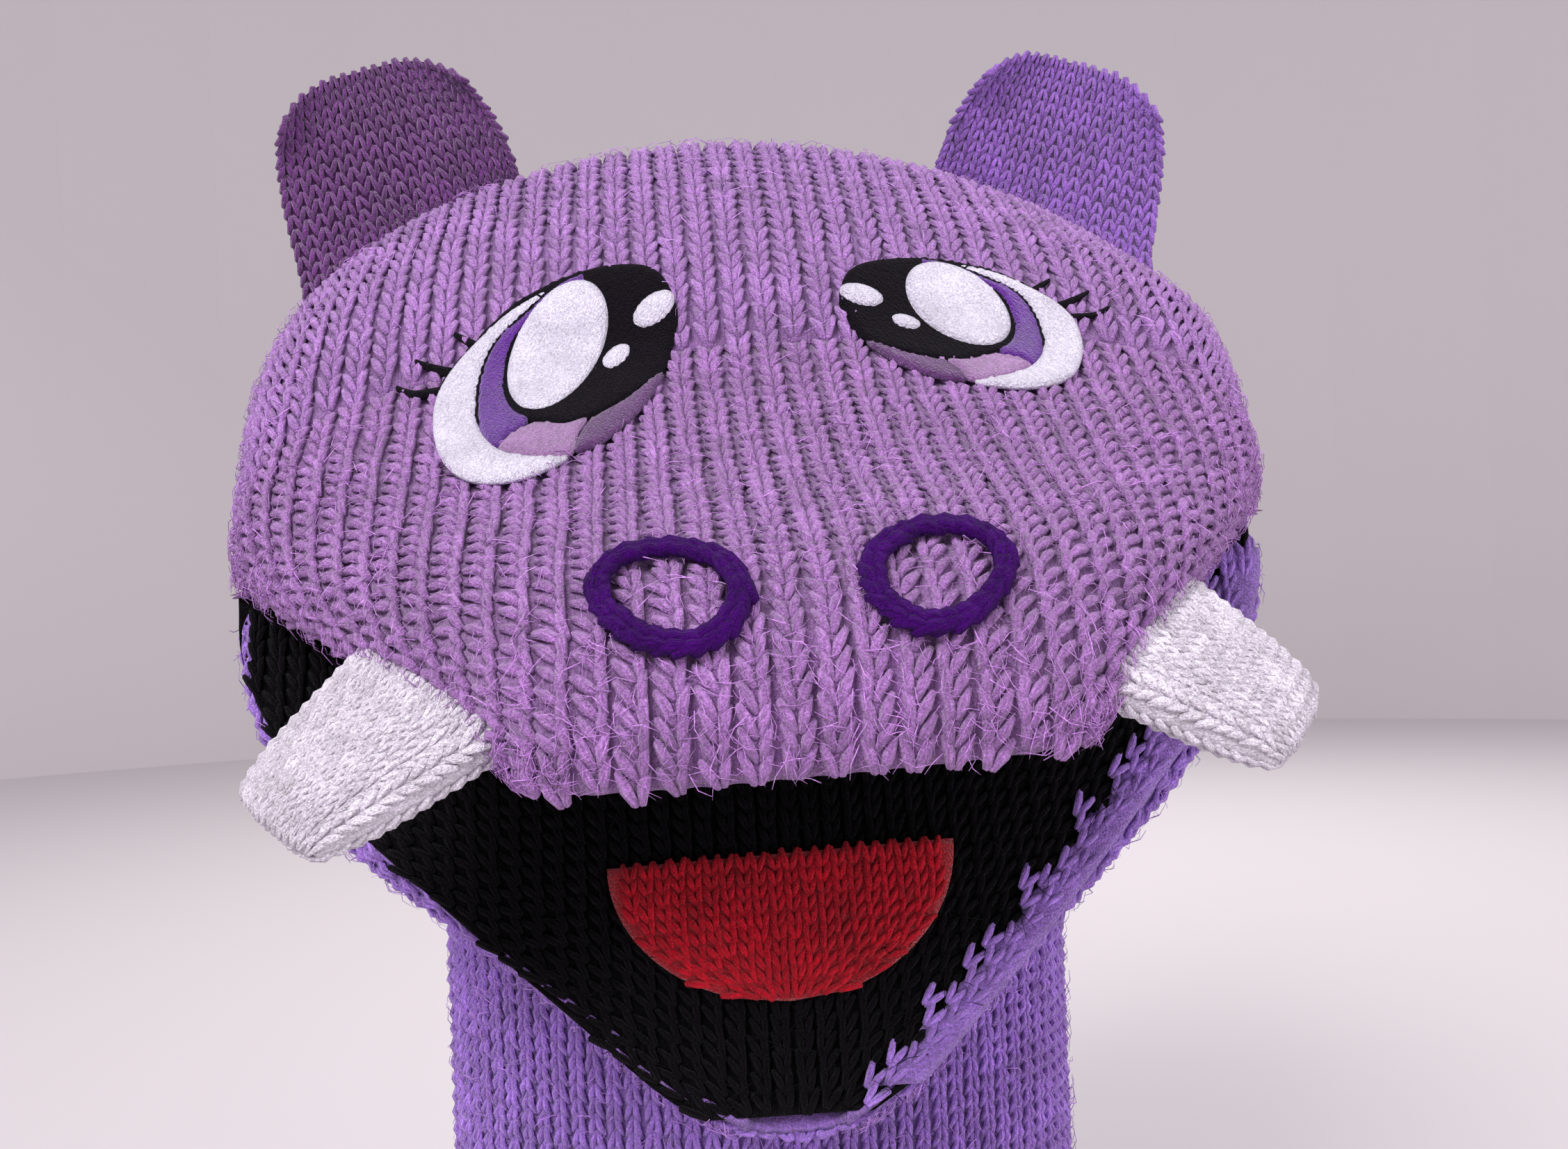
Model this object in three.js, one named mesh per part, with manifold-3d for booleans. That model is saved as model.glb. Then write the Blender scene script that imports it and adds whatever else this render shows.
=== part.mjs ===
// A knitted hippo hand puppet with a moving mouth: a sleeve for the forearm, a neck that turns and nods
// with the wrist, a head whose upper jaw is worked by the fingers and lower jaw by the thumb, two sewn-on
// ears and two stuffed teeth. Millimetres, +Z up, the puppet faces -Y, origin in the middle of the hem.
import * as THREE from "three";
import { mergeVertices } from "three/addons/utils/BufferGeometryUtils.js";
import Module from "manifold-3d";

const wasm = await Module();
wasm.setup();

// Sleeve and neck
const SLEEVE_WIDTH = 128;
const SLEEVE_DEPTH = 76;
const SLEEVE_LENGTH = 92;
const NECK_LENGTH = 23;
const HEM_HEIGHT = 18;
const SEAM_WIDTH = 4.2;
const SEAM_RIDGE = 0.7;

// Head, from the wrist up to the mouth fold that both jaws turn on
const HEAD_WIDTH = 190;
const WRIST_TO_MOUTH = 64;
const MOUTH_FORWARD = 40;
const CROWN_RISE = 90;
const NAPE_REACH = 80;
const BRIDGE_RISE = 24;

// Upper jaw
const UPPER_JAW_LENGTH = 86;
const UPPER_JAW_DROP = 21;
const LIP_WIDTH = 77;
const MUZZLE_RISE = 23;
const NOSTRIL_SPACING = 42;
const NOSTRIL_WIDTH = 18.5;
const NOSTRIL_HEIGHT = 20;
const YARN = 4.2;

// Lower jaw and tongue
const LOWER_JAW_LENGTH = 104;
const LOWER_JAW_DROP = 70;
const THUMB_ROOM = 11;
const TONGUE_WIDTH = 60;
const TONGUE_LENGTH = 25;
const TONGUE_TOP = 57;
const TONGUE_THICKNESS = 1.4;

// Eyes, ears and teeth
const EYE_SPACING = 74;
const EYE_WIDTH = 42;
const EYE_HEIGHT = 32;
const THREAD = 0.8;
const EAR_WIDTH = 49;
const EAR_HEIGHT = 35;
const EAR_CUP = 8;
const EAR_LEAN = 15;
const EAR_NARROWING = 0.24;
const EAR_ROUNDING = 0.2;
const TOOTH_WIDTH = 42;
const TOOTH_TIP_WIDTH = 26;
const TOOTH_LENGTH = 26;
const TOOTH_THICKNESS = 9.5;
const TOOTH_DROP = 30;
const TOOTH_LIFT = 4;
const TOOTH_MIDDLE = 61;
const TOOTH_SKEW = 4;
const TOOTH_SIDE_PINCH = 0.45;
const TOOTH_TIP_PINCH = 0.4;

// Fabric and the room that pieces keep
const SKIN = 2.5;
const LINING = 2.4;
const CLEARANCE = 0.3;
const TURN_GAP = 3;
const NOD_RANGE = 20;
const JAW_LIFT_GAP = 22;
const FOLD_ROOM = 7;
const TOOTH_GAP = 2.5;
const TOOTH_WALL = 1.4;
const EAR_GAP = 3.4;
const SEAM_SHARE = 0.03;
const RIM_LIFT = 2;
const PALATE_REACH = 0.96;
const PALATE_CORNER = 8;
const PALATE_FRONT = 0.72;
const BRIDGE_LEAN = 63;

const RIGHT_ANGLE = Math.PI / 2;
const rad = THREE.MathUtils.degToRad;
const lerp = THREE.MathUtils.lerp;
const SIDES = [
  { name: "left", sign: -1 },
  { name: "right", sign: 1 },
];

const wristHeight = SLEEVE_LENGTH + TURN_GAP + NECK_LENGTH + CLEARANCE + RIM_LIFT;
const pivot = new THREE.Vector3(0, -MOUTH_FORWARD, wristHeight + WRIST_TO_MOUTH);
const headHalf = HEAD_WIDTH / 2;
const lipHalf = LIP_WIDTH / 2;
const sleeveHalf = SLEEVE_WIDTH / 2;
const sleeveReach = SLEEVE_DEPTH / 2;
const nodRise = sleeveReach * Math.tan(rad(NOD_RANGE)) + RIM_LIFT;

const yarn = {
  crown: knit("#9a6fa5", 0.95),
  muzzle: knit("#8f6298", 0.95),
  sleeve: knit("#8661af", 0.95),
  ear: knit("#8257a7", 0.95),
  lining: knit("#140717", 1),
  tongue: knit("#81081e", 0.95),
  tooth: knit("#ddd1e0", 0.95),
  stuffing: knit("#f1eff2", 1),
  nostril: knit("#28092f", 0.9),
  eyeWhite: knit("#d8d1ed", 0.6),
  iris: knit("#602695", 0.55),
  pupil: knit("#0b0610", 0.5),
};

function knit(color, roughness) {
  return new THREE.MeshStandardMaterial({ color, roughness, metalness: 0 });
}

// Direction that a jaw plate runs in, from the mouth fold towards its lip, dropped by an angle in degrees.
function jawDirection(drop) {
  return new THREE.Vector3(0, -Math.cos(rad(drop)), -Math.sin(rad(drop)));
}

const upperRun = jawDirection(UPPER_JAW_DROP);
const upperDown = new THREE.Vector3(1, 0, 0).cross(upperRun);
const lowerRun = jawDirection(LOWER_JAW_DROP);
const lowerBack = new THREE.Vector3(1, 0, 0).cross(lowerRun);

// Half the width of the upper jaw at a distance from the mouth fold.
const jawSlope = (headHalf - lipHalf) / UPPER_JAW_LENGTH;
function upperHalf(distance) {
  return headHalf - jawSlope * distance;
}

// Half the width of the lower jaw: a V with full sides and a round chin, as shares of width and length.
const lowerOutline = new THREE.SplineCurve(
  [
    [1, 0],
    [0.985, 0.13],
    [0.89, 0.31],
    [0.68, 0.52],
    [0.37, 0.8],
    [0.2, 0.94],
    [0.1, 0.985],
  ].map(([width, length]) => new THREE.Vector2(width * headHalf, length * LOWER_JAW_LENGTH)),
);

// Points on a straight jaw plate.
function onJaw(run, distance, across = 0) {
  return pivot.clone().addScaledVector(run, distance).setX(across);
}

// A knit surface through stations. Each station joins a side edge to a middle point by half an oval, which
// gets squarer with its fullness and falls away from its middle with its slope. u runs -1..1 from edge to
// edge and v runs 0..1 through the stations; mirror swaps the direction of u so that normals face out.
function stationSurface(stations, mirror = 1) {
  const middles = new THREE.CatmullRomCurve3(stations.map((s) => s.middle));
  const edges = new THREE.CatmullRomCurve3(stations.map((s) => s.edge));
  const shapes = new THREE.CatmullRomCurve3(stations.map((s) => new THREE.Vector3(s.full, s.slope ?? 0, 0)));
  return (u, v) => {
    const t = THREE.MathUtils.clamp(v, 0, 1);
    const edge = edges.getPoint(t);
    const { x: full, y: slope } = shapes.getPoint(t);
    const turn = u * RIGHT_ANGLE;
    const sine = Math.sin(turn);
    const cosine = Math.cos(turn);
    const stretch = (Math.abs(sine) ** full + Math.abs(cosine) ** full) ** (-1 / full);
    const side = sine * stretch;
    const height = cosine * stretch * (1 - slope * side * side);
    const foot = new THREE.Vector3(0, edge.y, edge.z);
    return foot
      .clone()
      .lerp(middles.getPoint(t), height)
      .setX(mirror * edge.x * side);
  };
}

// The oval of the sleeve and neck. facing is -1 for the front half and 1 for the back half.
function oval(facing) {
  return (u, height) =>
    new THREE.Vector3(
      -facing * sleeveHalf * Math.sin(u * RIGHT_ANGLE),
      facing * sleeveReach * Math.cos(u * RIGHT_ANGLE),
      height,
    );
}

// Point and outward normal of a surface.
function frameAt(surface, u, v, step = 1e-3) {
  const across = surface(u + step, v).sub(surface(u - step, v));
  const along = surface(u, v + step).sub(surface(u, v - step));
  return { point: surface(u, v), normal: across.clone().cross(along).normalize() };
}

// Moves each vertex of a geometry to where place(x, y, z) says, and merges it into one closed mesh.
function bend(geometry, place) {
  geometry.deleteAttribute("uv");
  geometry.deleteAttribute("normal");
  const merged = mergeVertices(geometry, 1e-5);
  const positions = merged.getAttribute("position");
  const vertex = new THREE.Vector3();
  for (let i = 0; i < positions.count; i++) {
    vertex.fromBufferAttribute(positions, i);
    positions.setXYZ(i, ...place(vertex.x, vertex.y, vertex.z));
  }
  merged.computeVertexNormals();
  return merged;
}

// A sheet of knit wrapped on a surface, its outer face raised above it by raise.
function sheet(surface, { us = [-1, 1], vs = [0, 1], across, along, thickness = SKIN, raise = 0 }) {
  return bend(new THREE.BoxGeometry(1, 1, 1, across, along, 1), (x, y, z) => {
    const { point, normal } = frameAt(surface, lerp(...us, x + 0.5), lerp(...vs, y + 0.5));
    return point.addScaledVector(normal, z > 0 ? raise : raise - thickness);
  });
}

// A small flat geometry laid on a surface round the point (u, v), tilted by an angle in degrees.
function onSurface(geometry, surface, u, v, tilt) {
  const reach = 1e-2;
  const perU = surface(u + reach, v).distanceTo(surface(u - reach, v)) / (2 * reach);
  const perV = surface(u, v + reach).distanceTo(surface(u, v - reach)) / (2 * reach);
  geometry.rotateZ(rad(tilt));
  return bend(geometry, (x, y, z) => {
    const { point, normal } = frameAt(surface, u + x / perU, v + y / perV);
    return point.addScaledVector(normal, z);
  });
}

function mesh(name, geometry, material) {
  const made = new THREE.Mesh(geometry, material);
  made.name = name;
  return made;
}

function toSolid(geometry) {
  const vertProperties = new Float32Array(geometry.getAttribute("position").array);
  return new wasm.Manifold(
    new wasm.Mesh({ numProp: 3, vertProperties, triVerts: new Uint32Array(geometry.index.array) }),
  );
}

function toGeometry(solid) {
  const cut = solid.getMesh();
  const positions = new Float32Array(cut.numVert * 3);
  for (let i = 0; i < cut.numVert; i++)
    positions.set(cut.vertProperties.subarray(i * cut.numProp, i * cut.numProp + 3), i * 3);
  const geometry = new THREE.BufferGeometry();
  geometry.setAttribute("position", new THREE.BufferAttribute(positions, 3));
  geometry.setIndex(new THREE.BufferAttribute(new Uint32Array(cut.triVerts), 1));
  geometry.computeVertexNormals();
  return geometry;
}

// The middle points of the head, as [back, up] from the mouth fold in shares of the nape's reach and the
// crown's rise.
function headMiddle(back, up) {
  return pivot.clone().add(new THREE.Vector3(0, back * NAPE_REACH, up * CROWN_RISE));
}

function headEdge(width, back, up) {
  const foot = new THREE.Vector3(sleeveHalf, 0, wristHeight + CLEARANCE + RIM_LIFT);
  const corner = pivot.clone().setX(headHalf);
  return new THREE.Vector3(lerp(foot.x, corner.x, width), lerp(foot.y, corner.y, back), lerp(foot.z, corner.z, up));
}

const crownSurface = stationSurface(
  [
    { middle: new THREE.Vector3(0, sleeveReach, wristHeight + nodRise), edge: headEdge(0, 0, 0), full: 2 },
    { middle: headMiddle(0.99, -0.2), edge: headEdge(0.24, 0.2, 0.58), full: 2.2 },
    { middle: headMiddle(1.02, 0.18), edge: headEdge(0.64, 0.52, 0.82), full: 3, slope: 0.05 },
    { middle: headMiddle(0.97, 0.58), edge: headEdge(0.9, 0.84, 0.96), full: 4.4, slope: 0.16 },
    { middle: headMiddle(0.82, 0.88), edge: headEdge(1, 1, 1), full: 6, slope: 0.32 },
    { middle: headMiddle(0.62, 0.99), edge: headEdge(1, 1, 1), full: 7, slope: 0.4 },
    { middle: headMiddle(0.37, 0.86), edge: headEdge(1, 1, 1), full: 7, slope: 0.36 },
    { middle: headMiddle(0.12, 0.62), edge: headEdge(1, 1, 1), full: 5.5, slope: 0.22 },
    { middle: headMiddle(-0.04, 0.39), edge: headEdge(1, 1, 1), full: 4.2, slope: 0.1 },
    { middle: headMiddle(-0.16, 0.27), edge: headEdge(1, 1, 1), full: 3.2 },
  ],
  -1,
);

// The upper jaw: its edges follow the palate and its middle points are [distance, rise] from the palate.
function muzzleStation(edgeDistance, distance, rise, full) {
  const middle = onJaw(upperRun, distance * UPPER_JAW_LENGTH).addScaledVector(upperDown, -rise * MUZZLE_RISE);
  const edgeAt = edgeDistance * UPPER_JAW_LENGTH;
  return { middle, edge: onJaw(upperRun, edgeAt, upperHalf(edgeAt)), full };
}

const bridgeTurn = rad(UPPER_JAW_DROP + BRIDGE_LEAN - JAW_LIFT_GAP);
const muzzleSurface = stationSurface(
  [
    muzzleStation(
      0.02,
      (BRIDGE_RISE * Math.cos(bridgeTurn)) / UPPER_JAW_LENGTH,
      (BRIDGE_RISE * Math.sin(bridgeTurn)) / MUZZLE_RISE,
      3,
    ),
    muzzleStation(0.16, 0.37, 1.12, 2.9),
    muzzleStation(0.36, 0.6, 1.1, 2.8),
    muzzleStation(0.58, 0.81, 1.02, 2.7),
    muzzleStation(0.78, 0.96, 0.78, 2.7),
    muzzleStation(0.92, 1.04, 0.42, 2.8),
    muzzleStation(0.98, 1.06, 0.02, 3),
  ],
  -1,
);

// The throat closes the front of the head up to the fold under the thumb.
const throatSurface = stationSurface([
  { middle: new THREE.Vector3(0, -sleeveReach, wristHeight + nodRise), edge: headEdge(0, 0, 0), full: 2 },
  { middle: headMiddle(0.05, -0.47), edge: headEdge(0.3, 0.25, 0.6), full: 2 },
  { middle: headMiddle(0.08, -0.4), edge: headEdge(0.84, 0.76, 0.9), full: 2.1 },
]);

// The chin hangs behind the lower jaw's lining, and its middle points are [distance, depth] behind it.
function chinStation(edgeDistance, distance, depth) {
  const edge2d = outlinePoint(edgeDistance * LOWER_JAW_LENGTH);
  return {
    middle: onJaw(lowerRun, distance * LOWER_JAW_LENGTH).addScaledVector(lowerBack, depth * THUMB_ROOM),
    edge: onJaw(lowerRun, edge2d.y, edge2d.x),
    full: 2.6,
  };
}

// Point of the lower jaw's outline at a distance from the mouth fold, found by halving.
function outlinePoint(distance) {
  const halvings = 30;
  let [low, high] = [0, 1];
  for (let i = 0; i < halvings; i++) {
    const half = (low + high) / 2;
    if (lowerOutline.getPoint(half).y < distance) low = half;
    else high = half;
  }
  return lowerOutline.getPoint(low);
}

const chinSurface = stationSurface([
  chinStation(0.06, 0.4, 1),
  chinStation(0.2, 0.47, 1.05),
  chinStation(0.4, 0.58, 1.05),
  chinStation(0.6, 0.7, 1),
  chinStation(0.8, 0.83, 0.92),
  chinStation(0.93, 0.94, 0.75),
  chinStation(0.985, 0.995, 0.5),
]);

const panelEdge = 1 - (SEAM_WIDTH / 2 + CLEARANCE) / (sleeveReach * RIGHT_ANGLE);

function panelSpan() {
  return [-panelEdge, panelEdge];
}

// A ring that follows the oval of the sleeve.
function ovalRing(bottom, top, thickness, raise) {
  const radius = 100;
  const profile = [
    [radius + raise - thickness, bottom],
    [radius + raise, bottom],
    [radius + raise, top],
    [radius + raise - thickness, top],
    [radius + raise - thickness, bottom],
  ].map(([x, y]) => new THREE.Vector2(x, y));
  const ring = new THREE.LatheGeometry(profile, 48).rotateX(RIGHT_ANGLE);
  return bend(ring, (x, y, z) => {
    const u = Math.atan2(-x, y) / RIGHT_ANGLE;
    const { point, normal } = frameAt(oval(1), u, z);
    return point.addScaledVector(normal, Math.hypot(x, y) - radius);
  });
}

function sleeve() {
  const group = new THREE.Group();
  const heights = [HEM_HEIGHT + CLEARANCE, SLEEVE_LENGTH];
  const panel = { us: panelSpan(), vs: heights, across: 18, along: 2 };
  group.add(mesh("sleeve_back_knit", sheet(oval(1), panel), yarn.sleeve));
  group.add(mesh("sleeve_front_knit", sheet(oval(-1), panel), yarn.sleeve));
  group.add(mesh("hem_band", ovalRing(0, HEM_HEIGHT, SKIN + SEAM_RIDGE, SEAM_RIDGE), yarn.sleeve));
  const half = SEAM_WIDTH / 2 / (sleeveReach * RIGHT_ANGLE);
  for (const { name, sign } of SIDES) {
    const strip = {
      us: [sign - half, sign + half],
      vs: heights,
      across: 3,
      along: 2,
      thickness: SKIN + SEAM_RIDGE,
      raise: SEAM_RIDGE,
    };
    group.add(mesh(`side_seam_${name}`, sheet(oval(-1), strip), yarn.sleeve));
  }
  return group;
}

function neck() {
  const group = new THREE.Group();
  const bottom = SLEEVE_LENGTH + TURN_GAP;
  const panel = { us: [-1 + SEAM_SHARE / 2, 1 - SEAM_SHARE / 2], across: 18, along: 2 };
  panel.vs = [bottom, bottom + NECK_LENGTH];
  group.add(mesh("neck_back_knit", sheet(oval(1), panel), yarn.sleeve));
  group.add(mesh("neck_front_knit", sheet(oval(-1), panel), yarn.sleeve));
  return group;
}

// A round patch of embroidery: a flat disc with rings of faces, so that it can lie on a curved skin.
function threadDisc(width, height, raise) {
  const profile = [0, 0.35, 0.7, 1].map((r) => new THREE.Vector2(r, 0));
  const back = [1, 0.7, 0.35, 0].map((r) => new THREE.Vector2(r, THREAD));
  const disc = new THREE.LatheGeometry([...profile, ...back], 24).rotateX(RIGHT_ANGLE);
  disc.scale(width / 2, height / 2, 1);
  return disc.translate(0, 0, raise);
}

// The u that a surface reaches at a distance from its middle, near the middle of a full section.
function sideShare(distance, half) {
  return Math.asin(distance / half) / RIGHT_ANGLE;
}

const EYE_SPOT = { v: 0.885, tilt: 24 };

function eye({ name, sign }) {
  const step = THREAD + CLEARANCE;
  const u = -sign * sideShare(EYE_SPACING / 2, headHalf);
  const layers = [
    { part: "white", size: 1, material: yarn.eyeWhite, shift: 0 },
    { part: "iris", size: 0.78, material: yarn.iris, shift: 3 },
    { part: "pupil", size: 0.6, material: yarn.pupil, shift: 5 },
  ];
  return layers.map(({ part, size, material, shift }, level) => {
    const disc = threadDisc(EYE_WIDTH * size, EYE_HEIGHT * size, CLEARANCE + level * step);
    disc.translate(sign * shift, 0, 0);
    const placed = onSurface(disc, crownSurface, u, EYE_SPOT.v, sign * EYE_SPOT.tilt);
    return mesh(`eye_${part}_${name}`, placed, material);
  });
}

function head() {
  const group = new THREE.Group();
  const span = [-1 + SEAM_SHARE, 1 - SEAM_SHARE];
  group.add(mesh("crown_knit", sheet(crownSurface, { us: span, across: 22, along: 22 }), yarn.crown));
  group.add(mesh("throat_knit", sheet(throatSurface, { us: span, across: 18, along: 4 }), yarn.sleeve));
  group.add(...SIDES.flatMap(eye));
  return group;
}

// A flat jaw lining cut to an outline and laid on its plate, with its thickness on the far side of the mouth.
function lining(outline, run, away) {
  const flat = new THREE.ExtrudeGeometry(new THREE.Shape(outline), { depth: LINING, bevelEnabled: false });
  const normal = new THREE.Vector3(1, 0, 0).cross(run);
  const back = away.dot(normal) > 0 ? 0 : -LINING;
  return bend(flat, (x, y, z) => onJaw(run, y, x).addScaledVector(normal, z + back));
}

function mirrored(points) {
  return [...points, ...[...points].reverse().map((p) => new THREE.Vector2(-p.x, p.y))];
}

function palateOutline() {
  const inset = SKIN * Math.hypot(1, jawSlope) + 2 * CLEARANCE;
  const end = PALATE_REACH * UPPER_JAW_LENGTH;
  const right = [FOLD_ROOM, end - PALATE_CORNER].map((y) => new THREE.Vector2(upperHalf(y) - inset, y));
  right.push(new THREE.Vector2(PALATE_FRONT * lipHalf, end));
  return mirrored(right);
}

// The lower lining stays inside the chin's wall, so its outline is set in square to the jaw's edge.
function lowerLiningOutline() {
  const inset = SKIN + 3 * CLEARANCE;
  const right = [0.08, 0.2, 0.35, 0.5, 0.65, 0.78, 0.88, 0.95].map((share) => {
    const { x, y } = outlinePoint(share * LOWER_JAW_LENGTH);
    const ahead = outlinePoint((share + 0.01) * LOWER_JAW_LENGTH);
    const along = new THREE.Vector2(ahead.x - x, ahead.y - y).normalize();
    return new THREE.Vector2(x - along.y * inset, y + along.x * inset);
  });
  return mirrored(right);
}

const NOSTRIL_SPOT = { v: 0.56, distance: 0.5, tilt: 22 };

function nostril({ name, sign }) {
  const ring = new THREE.TorusGeometry(1, YARN / NOSTRIL_WIDTH, 8, 22);
  ring.scale(NOSTRIL_WIDTH / 2, NOSTRIL_HEIGHT / 2, NOSTRIL_WIDTH / 2);
  ring.translate(0, 0, YARN / 2 + CLEARANCE);
  const u = -sign * sideShare(NOSTRIL_SPACING / 2, upperHalf(NOSTRIL_SPOT.distance * UPPER_JAW_LENGTH));
  const placed = onSurface(ring, muzzleSurface, u, NOSTRIL_SPOT.v, sign * NOSTRIL_SPOT.tilt);
  return mesh(`nostril_${name}`, placed, yarn.nostril);
}

function upperJaw() {
  const group = new THREE.Group();
  group.add(mesh("muzzle_knit", sheet(muzzleSurface, { across: 22, along: 12 }), yarn.muzzle));
  group.add(mesh("palate_lining", lining(palateOutline(), upperRun, upperDown.clone().negate()), yarn.lining));
  group.add(...SIDES.map(nostril));
  group.add(...SIDES.map(tooth));
  return group;
}

function tongueOutline() {
  const half = TONGUE_WIDTH / 2;
  const arc = new THREE.EllipseCurve(0, TONGUE_TOP, half, TONGUE_LENGTH, 0, Math.PI);
  return arc.getPoints(16);
}

function tongue() {
  const depth = TONGUE_THICKNESS;
  const flat = new THREE.ExtrudeGeometry(new THREE.Shape(tongueOutline()), { depth, bevelEnabled: false });
  const raise = -CLEARANCE - depth;
  const placed = bend(flat, (x, y, z) => onJaw(lowerRun, y, x).addScaledVector(lowerBack, z + raise));
  return mesh("tongue_knit", placed, yarn.tongue);
}

function lowerJaw() {
  const group = new THREE.Group();
  group.add(mesh("chin_knit", sheet(chinSurface, { across: 22, along: 12 }), yarn.sleeve));
  group.add(mesh("lower_mouth_lining", lining(lowerLiningOutline(), lowerRun, lowerBack), yarn.lining));
  group.add(tongue());
  return group;
}

// Frame of a tooth: base along the side of the upper jaw, out away from it and dropped, up across its face.
function toothFrame(sign) {
  const base = new THREE.Vector3(-sign * jawSlope, 0, 0).add(upperRun).normalize();
  const level = new THREE.Vector3().crossVectors(base, upperDown).multiplyScalar(-sign).normalize();
  if (level.x * sign < 0) level.negate();
  const drop = rad(TOOTH_DROP);
  const out = level.clone().multiplyScalar(Math.cos(drop)).addScaledVector(upperDown, Math.sin(drop));
  const up = level.clone().multiplyScalar(Math.sin(drop)).addScaledVector(upperDown, -Math.cos(drop));
  const root = onJaw(upperRun, TOOTH_MIDDLE, sign * upperHalf(TOOTH_MIDDLE)).addScaledVector(upperDown, -TOOTH_LIFT);
  return { base, out, up, root };
}

// A tooth's padded shape, smaller all round by inset, from start to end along its length.
function toothShape(sign, inset, start, end) {
  const { base, out, up, root } = toothFrame(sign);
  const block = new THREE.BoxGeometry(1, 1, 1, 8, 6, 2);
  const shape = bend(block, (x, y, z) => {
    const reach = lerp(start, end, y + 0.5);
    const share = THREE.MathUtils.clamp((reach - TOOTH_GAP) / TOOTH_LENGTH, 0, 1);
    const width = lerp(TOOTH_WIDTH, TOOTH_TIP_WIDTH, share) - 2 * inset;
    const pinch = 1 - TOOTH_SIDE_PINCH * (2 * x) ** 4 - TOOTH_TIP_PINCH * share ** 4;
    const thickness = TOOTH_THICKNESS * Math.max(pinch, TOOTH_TIP_PINCH) - 2 * inset;
    const skew = -TOOTH_SKEW * share;
    return root
      .clone()
      .addScaledVector(base, x * width + skew)
      .addScaledVector(out, reach)
      .addScaledVector(up, z * thickness);
  });
  if (new THREE.Vector3().crossVectors(base, out).dot(up) < 0) flip(shape);
  return shape;
}

// Turns a mesh's faces round.
function flip(geometry) {
  const { array } = geometry.index;
  for (let i = 0; i < array.length; i += 3) [array[i], array[i + 1]] = [array[i + 1], array[i]];
}

function tooth({ name, sign }) {
  const wall = TOOTH_WALL;
  const [start, end] = [TOOTH_GAP, TOOTH_GAP + TOOTH_LENGTH];
  const outer = toSolid(toothShape(sign, 0, start, end));
  const hollow = toSolid(toothShape(sign, wall, start - TOOTH_GAP, end - wall));
  const cover = toGeometry(outer.subtract(hollow));
  const room = 2 * CLEARANCE;
  const stuffing = toothShape(sign, wall + room, start + room, end - wall - room);
  const group = new THREE.Group();
  group.add(mesh(`tooth_cover_${name}`, cover, yarn.tooth));
  group.add(mesh(`tooth_stuffing_${name}`, stuffing, yarn.stuffing));
  return group;
}

// Where an ear is sewn on: the ends of its foot on the crown.
const EAR_SPOT = { inner: 0.275, outer: 0.505, v: 0.51 };

// An ear's foot follows the crown, and the rest of the flap leans out along the ear's rise.
function earFrame(sign) {
  const foot = (share) => {
    const u = -sign * lerp(EAR_SPOT.inner, EAR_SPOT.outer, share);
    const { point, normal } = frameAt(crownSurface, u, EAR_SPOT.v);
    return point.addScaledVector(normal, EAR_GAP);
  };
  const lean = rad(EAR_LEAN);
  const across = new THREE.Vector3(sign * Math.cos(lean), 0, -Math.sin(lean));
  const rise = new THREE.Vector3(sign * Math.sin(lean), 0, Math.cos(lean));
  return { foot, across, rise };
}

function earLayer({ name, sign }, layer, front) {
  const { foot, across, rise } = earFrame(sign);
  const layerSkin = SKIN - CLEARANCE;
  const flap = new THREE.BoxGeometry(1, 1, 1, 10, 10, 1);
  const middle = foot(0.5);
  const shape = bend(flap, (x, y, z) => {
    const up = y + 0.5;
    const narrowing = 1 - EAR_NARROWING * up ** 3;
    const top = 1 - EAR_ROUNDING * (2 * x) ** 4;
    const cup = -EAR_CUP * (2 * x) ** 2 * up;
    const depth = (front ? -layerSkin - 2 * CLEARANCE : 2 * CLEARANCE) + (z + 0.5) * layerSkin;
    const flapPoint = middle
      .clone()
      .addScaledVector(across, x * EAR_WIDTH * narrowing)
      .addScaledVector(rise, up * EAR_HEIGHT * top);
    return foot(x + 0.5)
      .lerp(flapPoint, 1 - (1 - up) ** 3)
      .add(new THREE.Vector3(0, cup + depth, 0));
  });
  if (sign > 0) flip(shape);
  return mesh(`ear_${layer}_${name}`, shape, yarn.ear);
}

function ear(side) {
  const group = new THREE.Group();
  group.add(earLayer(side, "front", true), earLayer(side, "back", false));
  return group;
}

const puppet = new THREE.Group();
puppet.add(sleeve(), neck(), head(), upperJaw(), lowerJaw(), ...SIDES.map(ear));

export default puppet;
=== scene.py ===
# The looks of a knitted hippo hand puppet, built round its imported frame. Metres, +Z up, facing -Y.
import math

import bpy
import numpy as np
from bpy.props import FloatProperty, FloatVectorProperty, IntProperty, PointerProperty
from mathutils import Matrix, Vector
from mathutils.geometry import delaunay_2d_cdt


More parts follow.
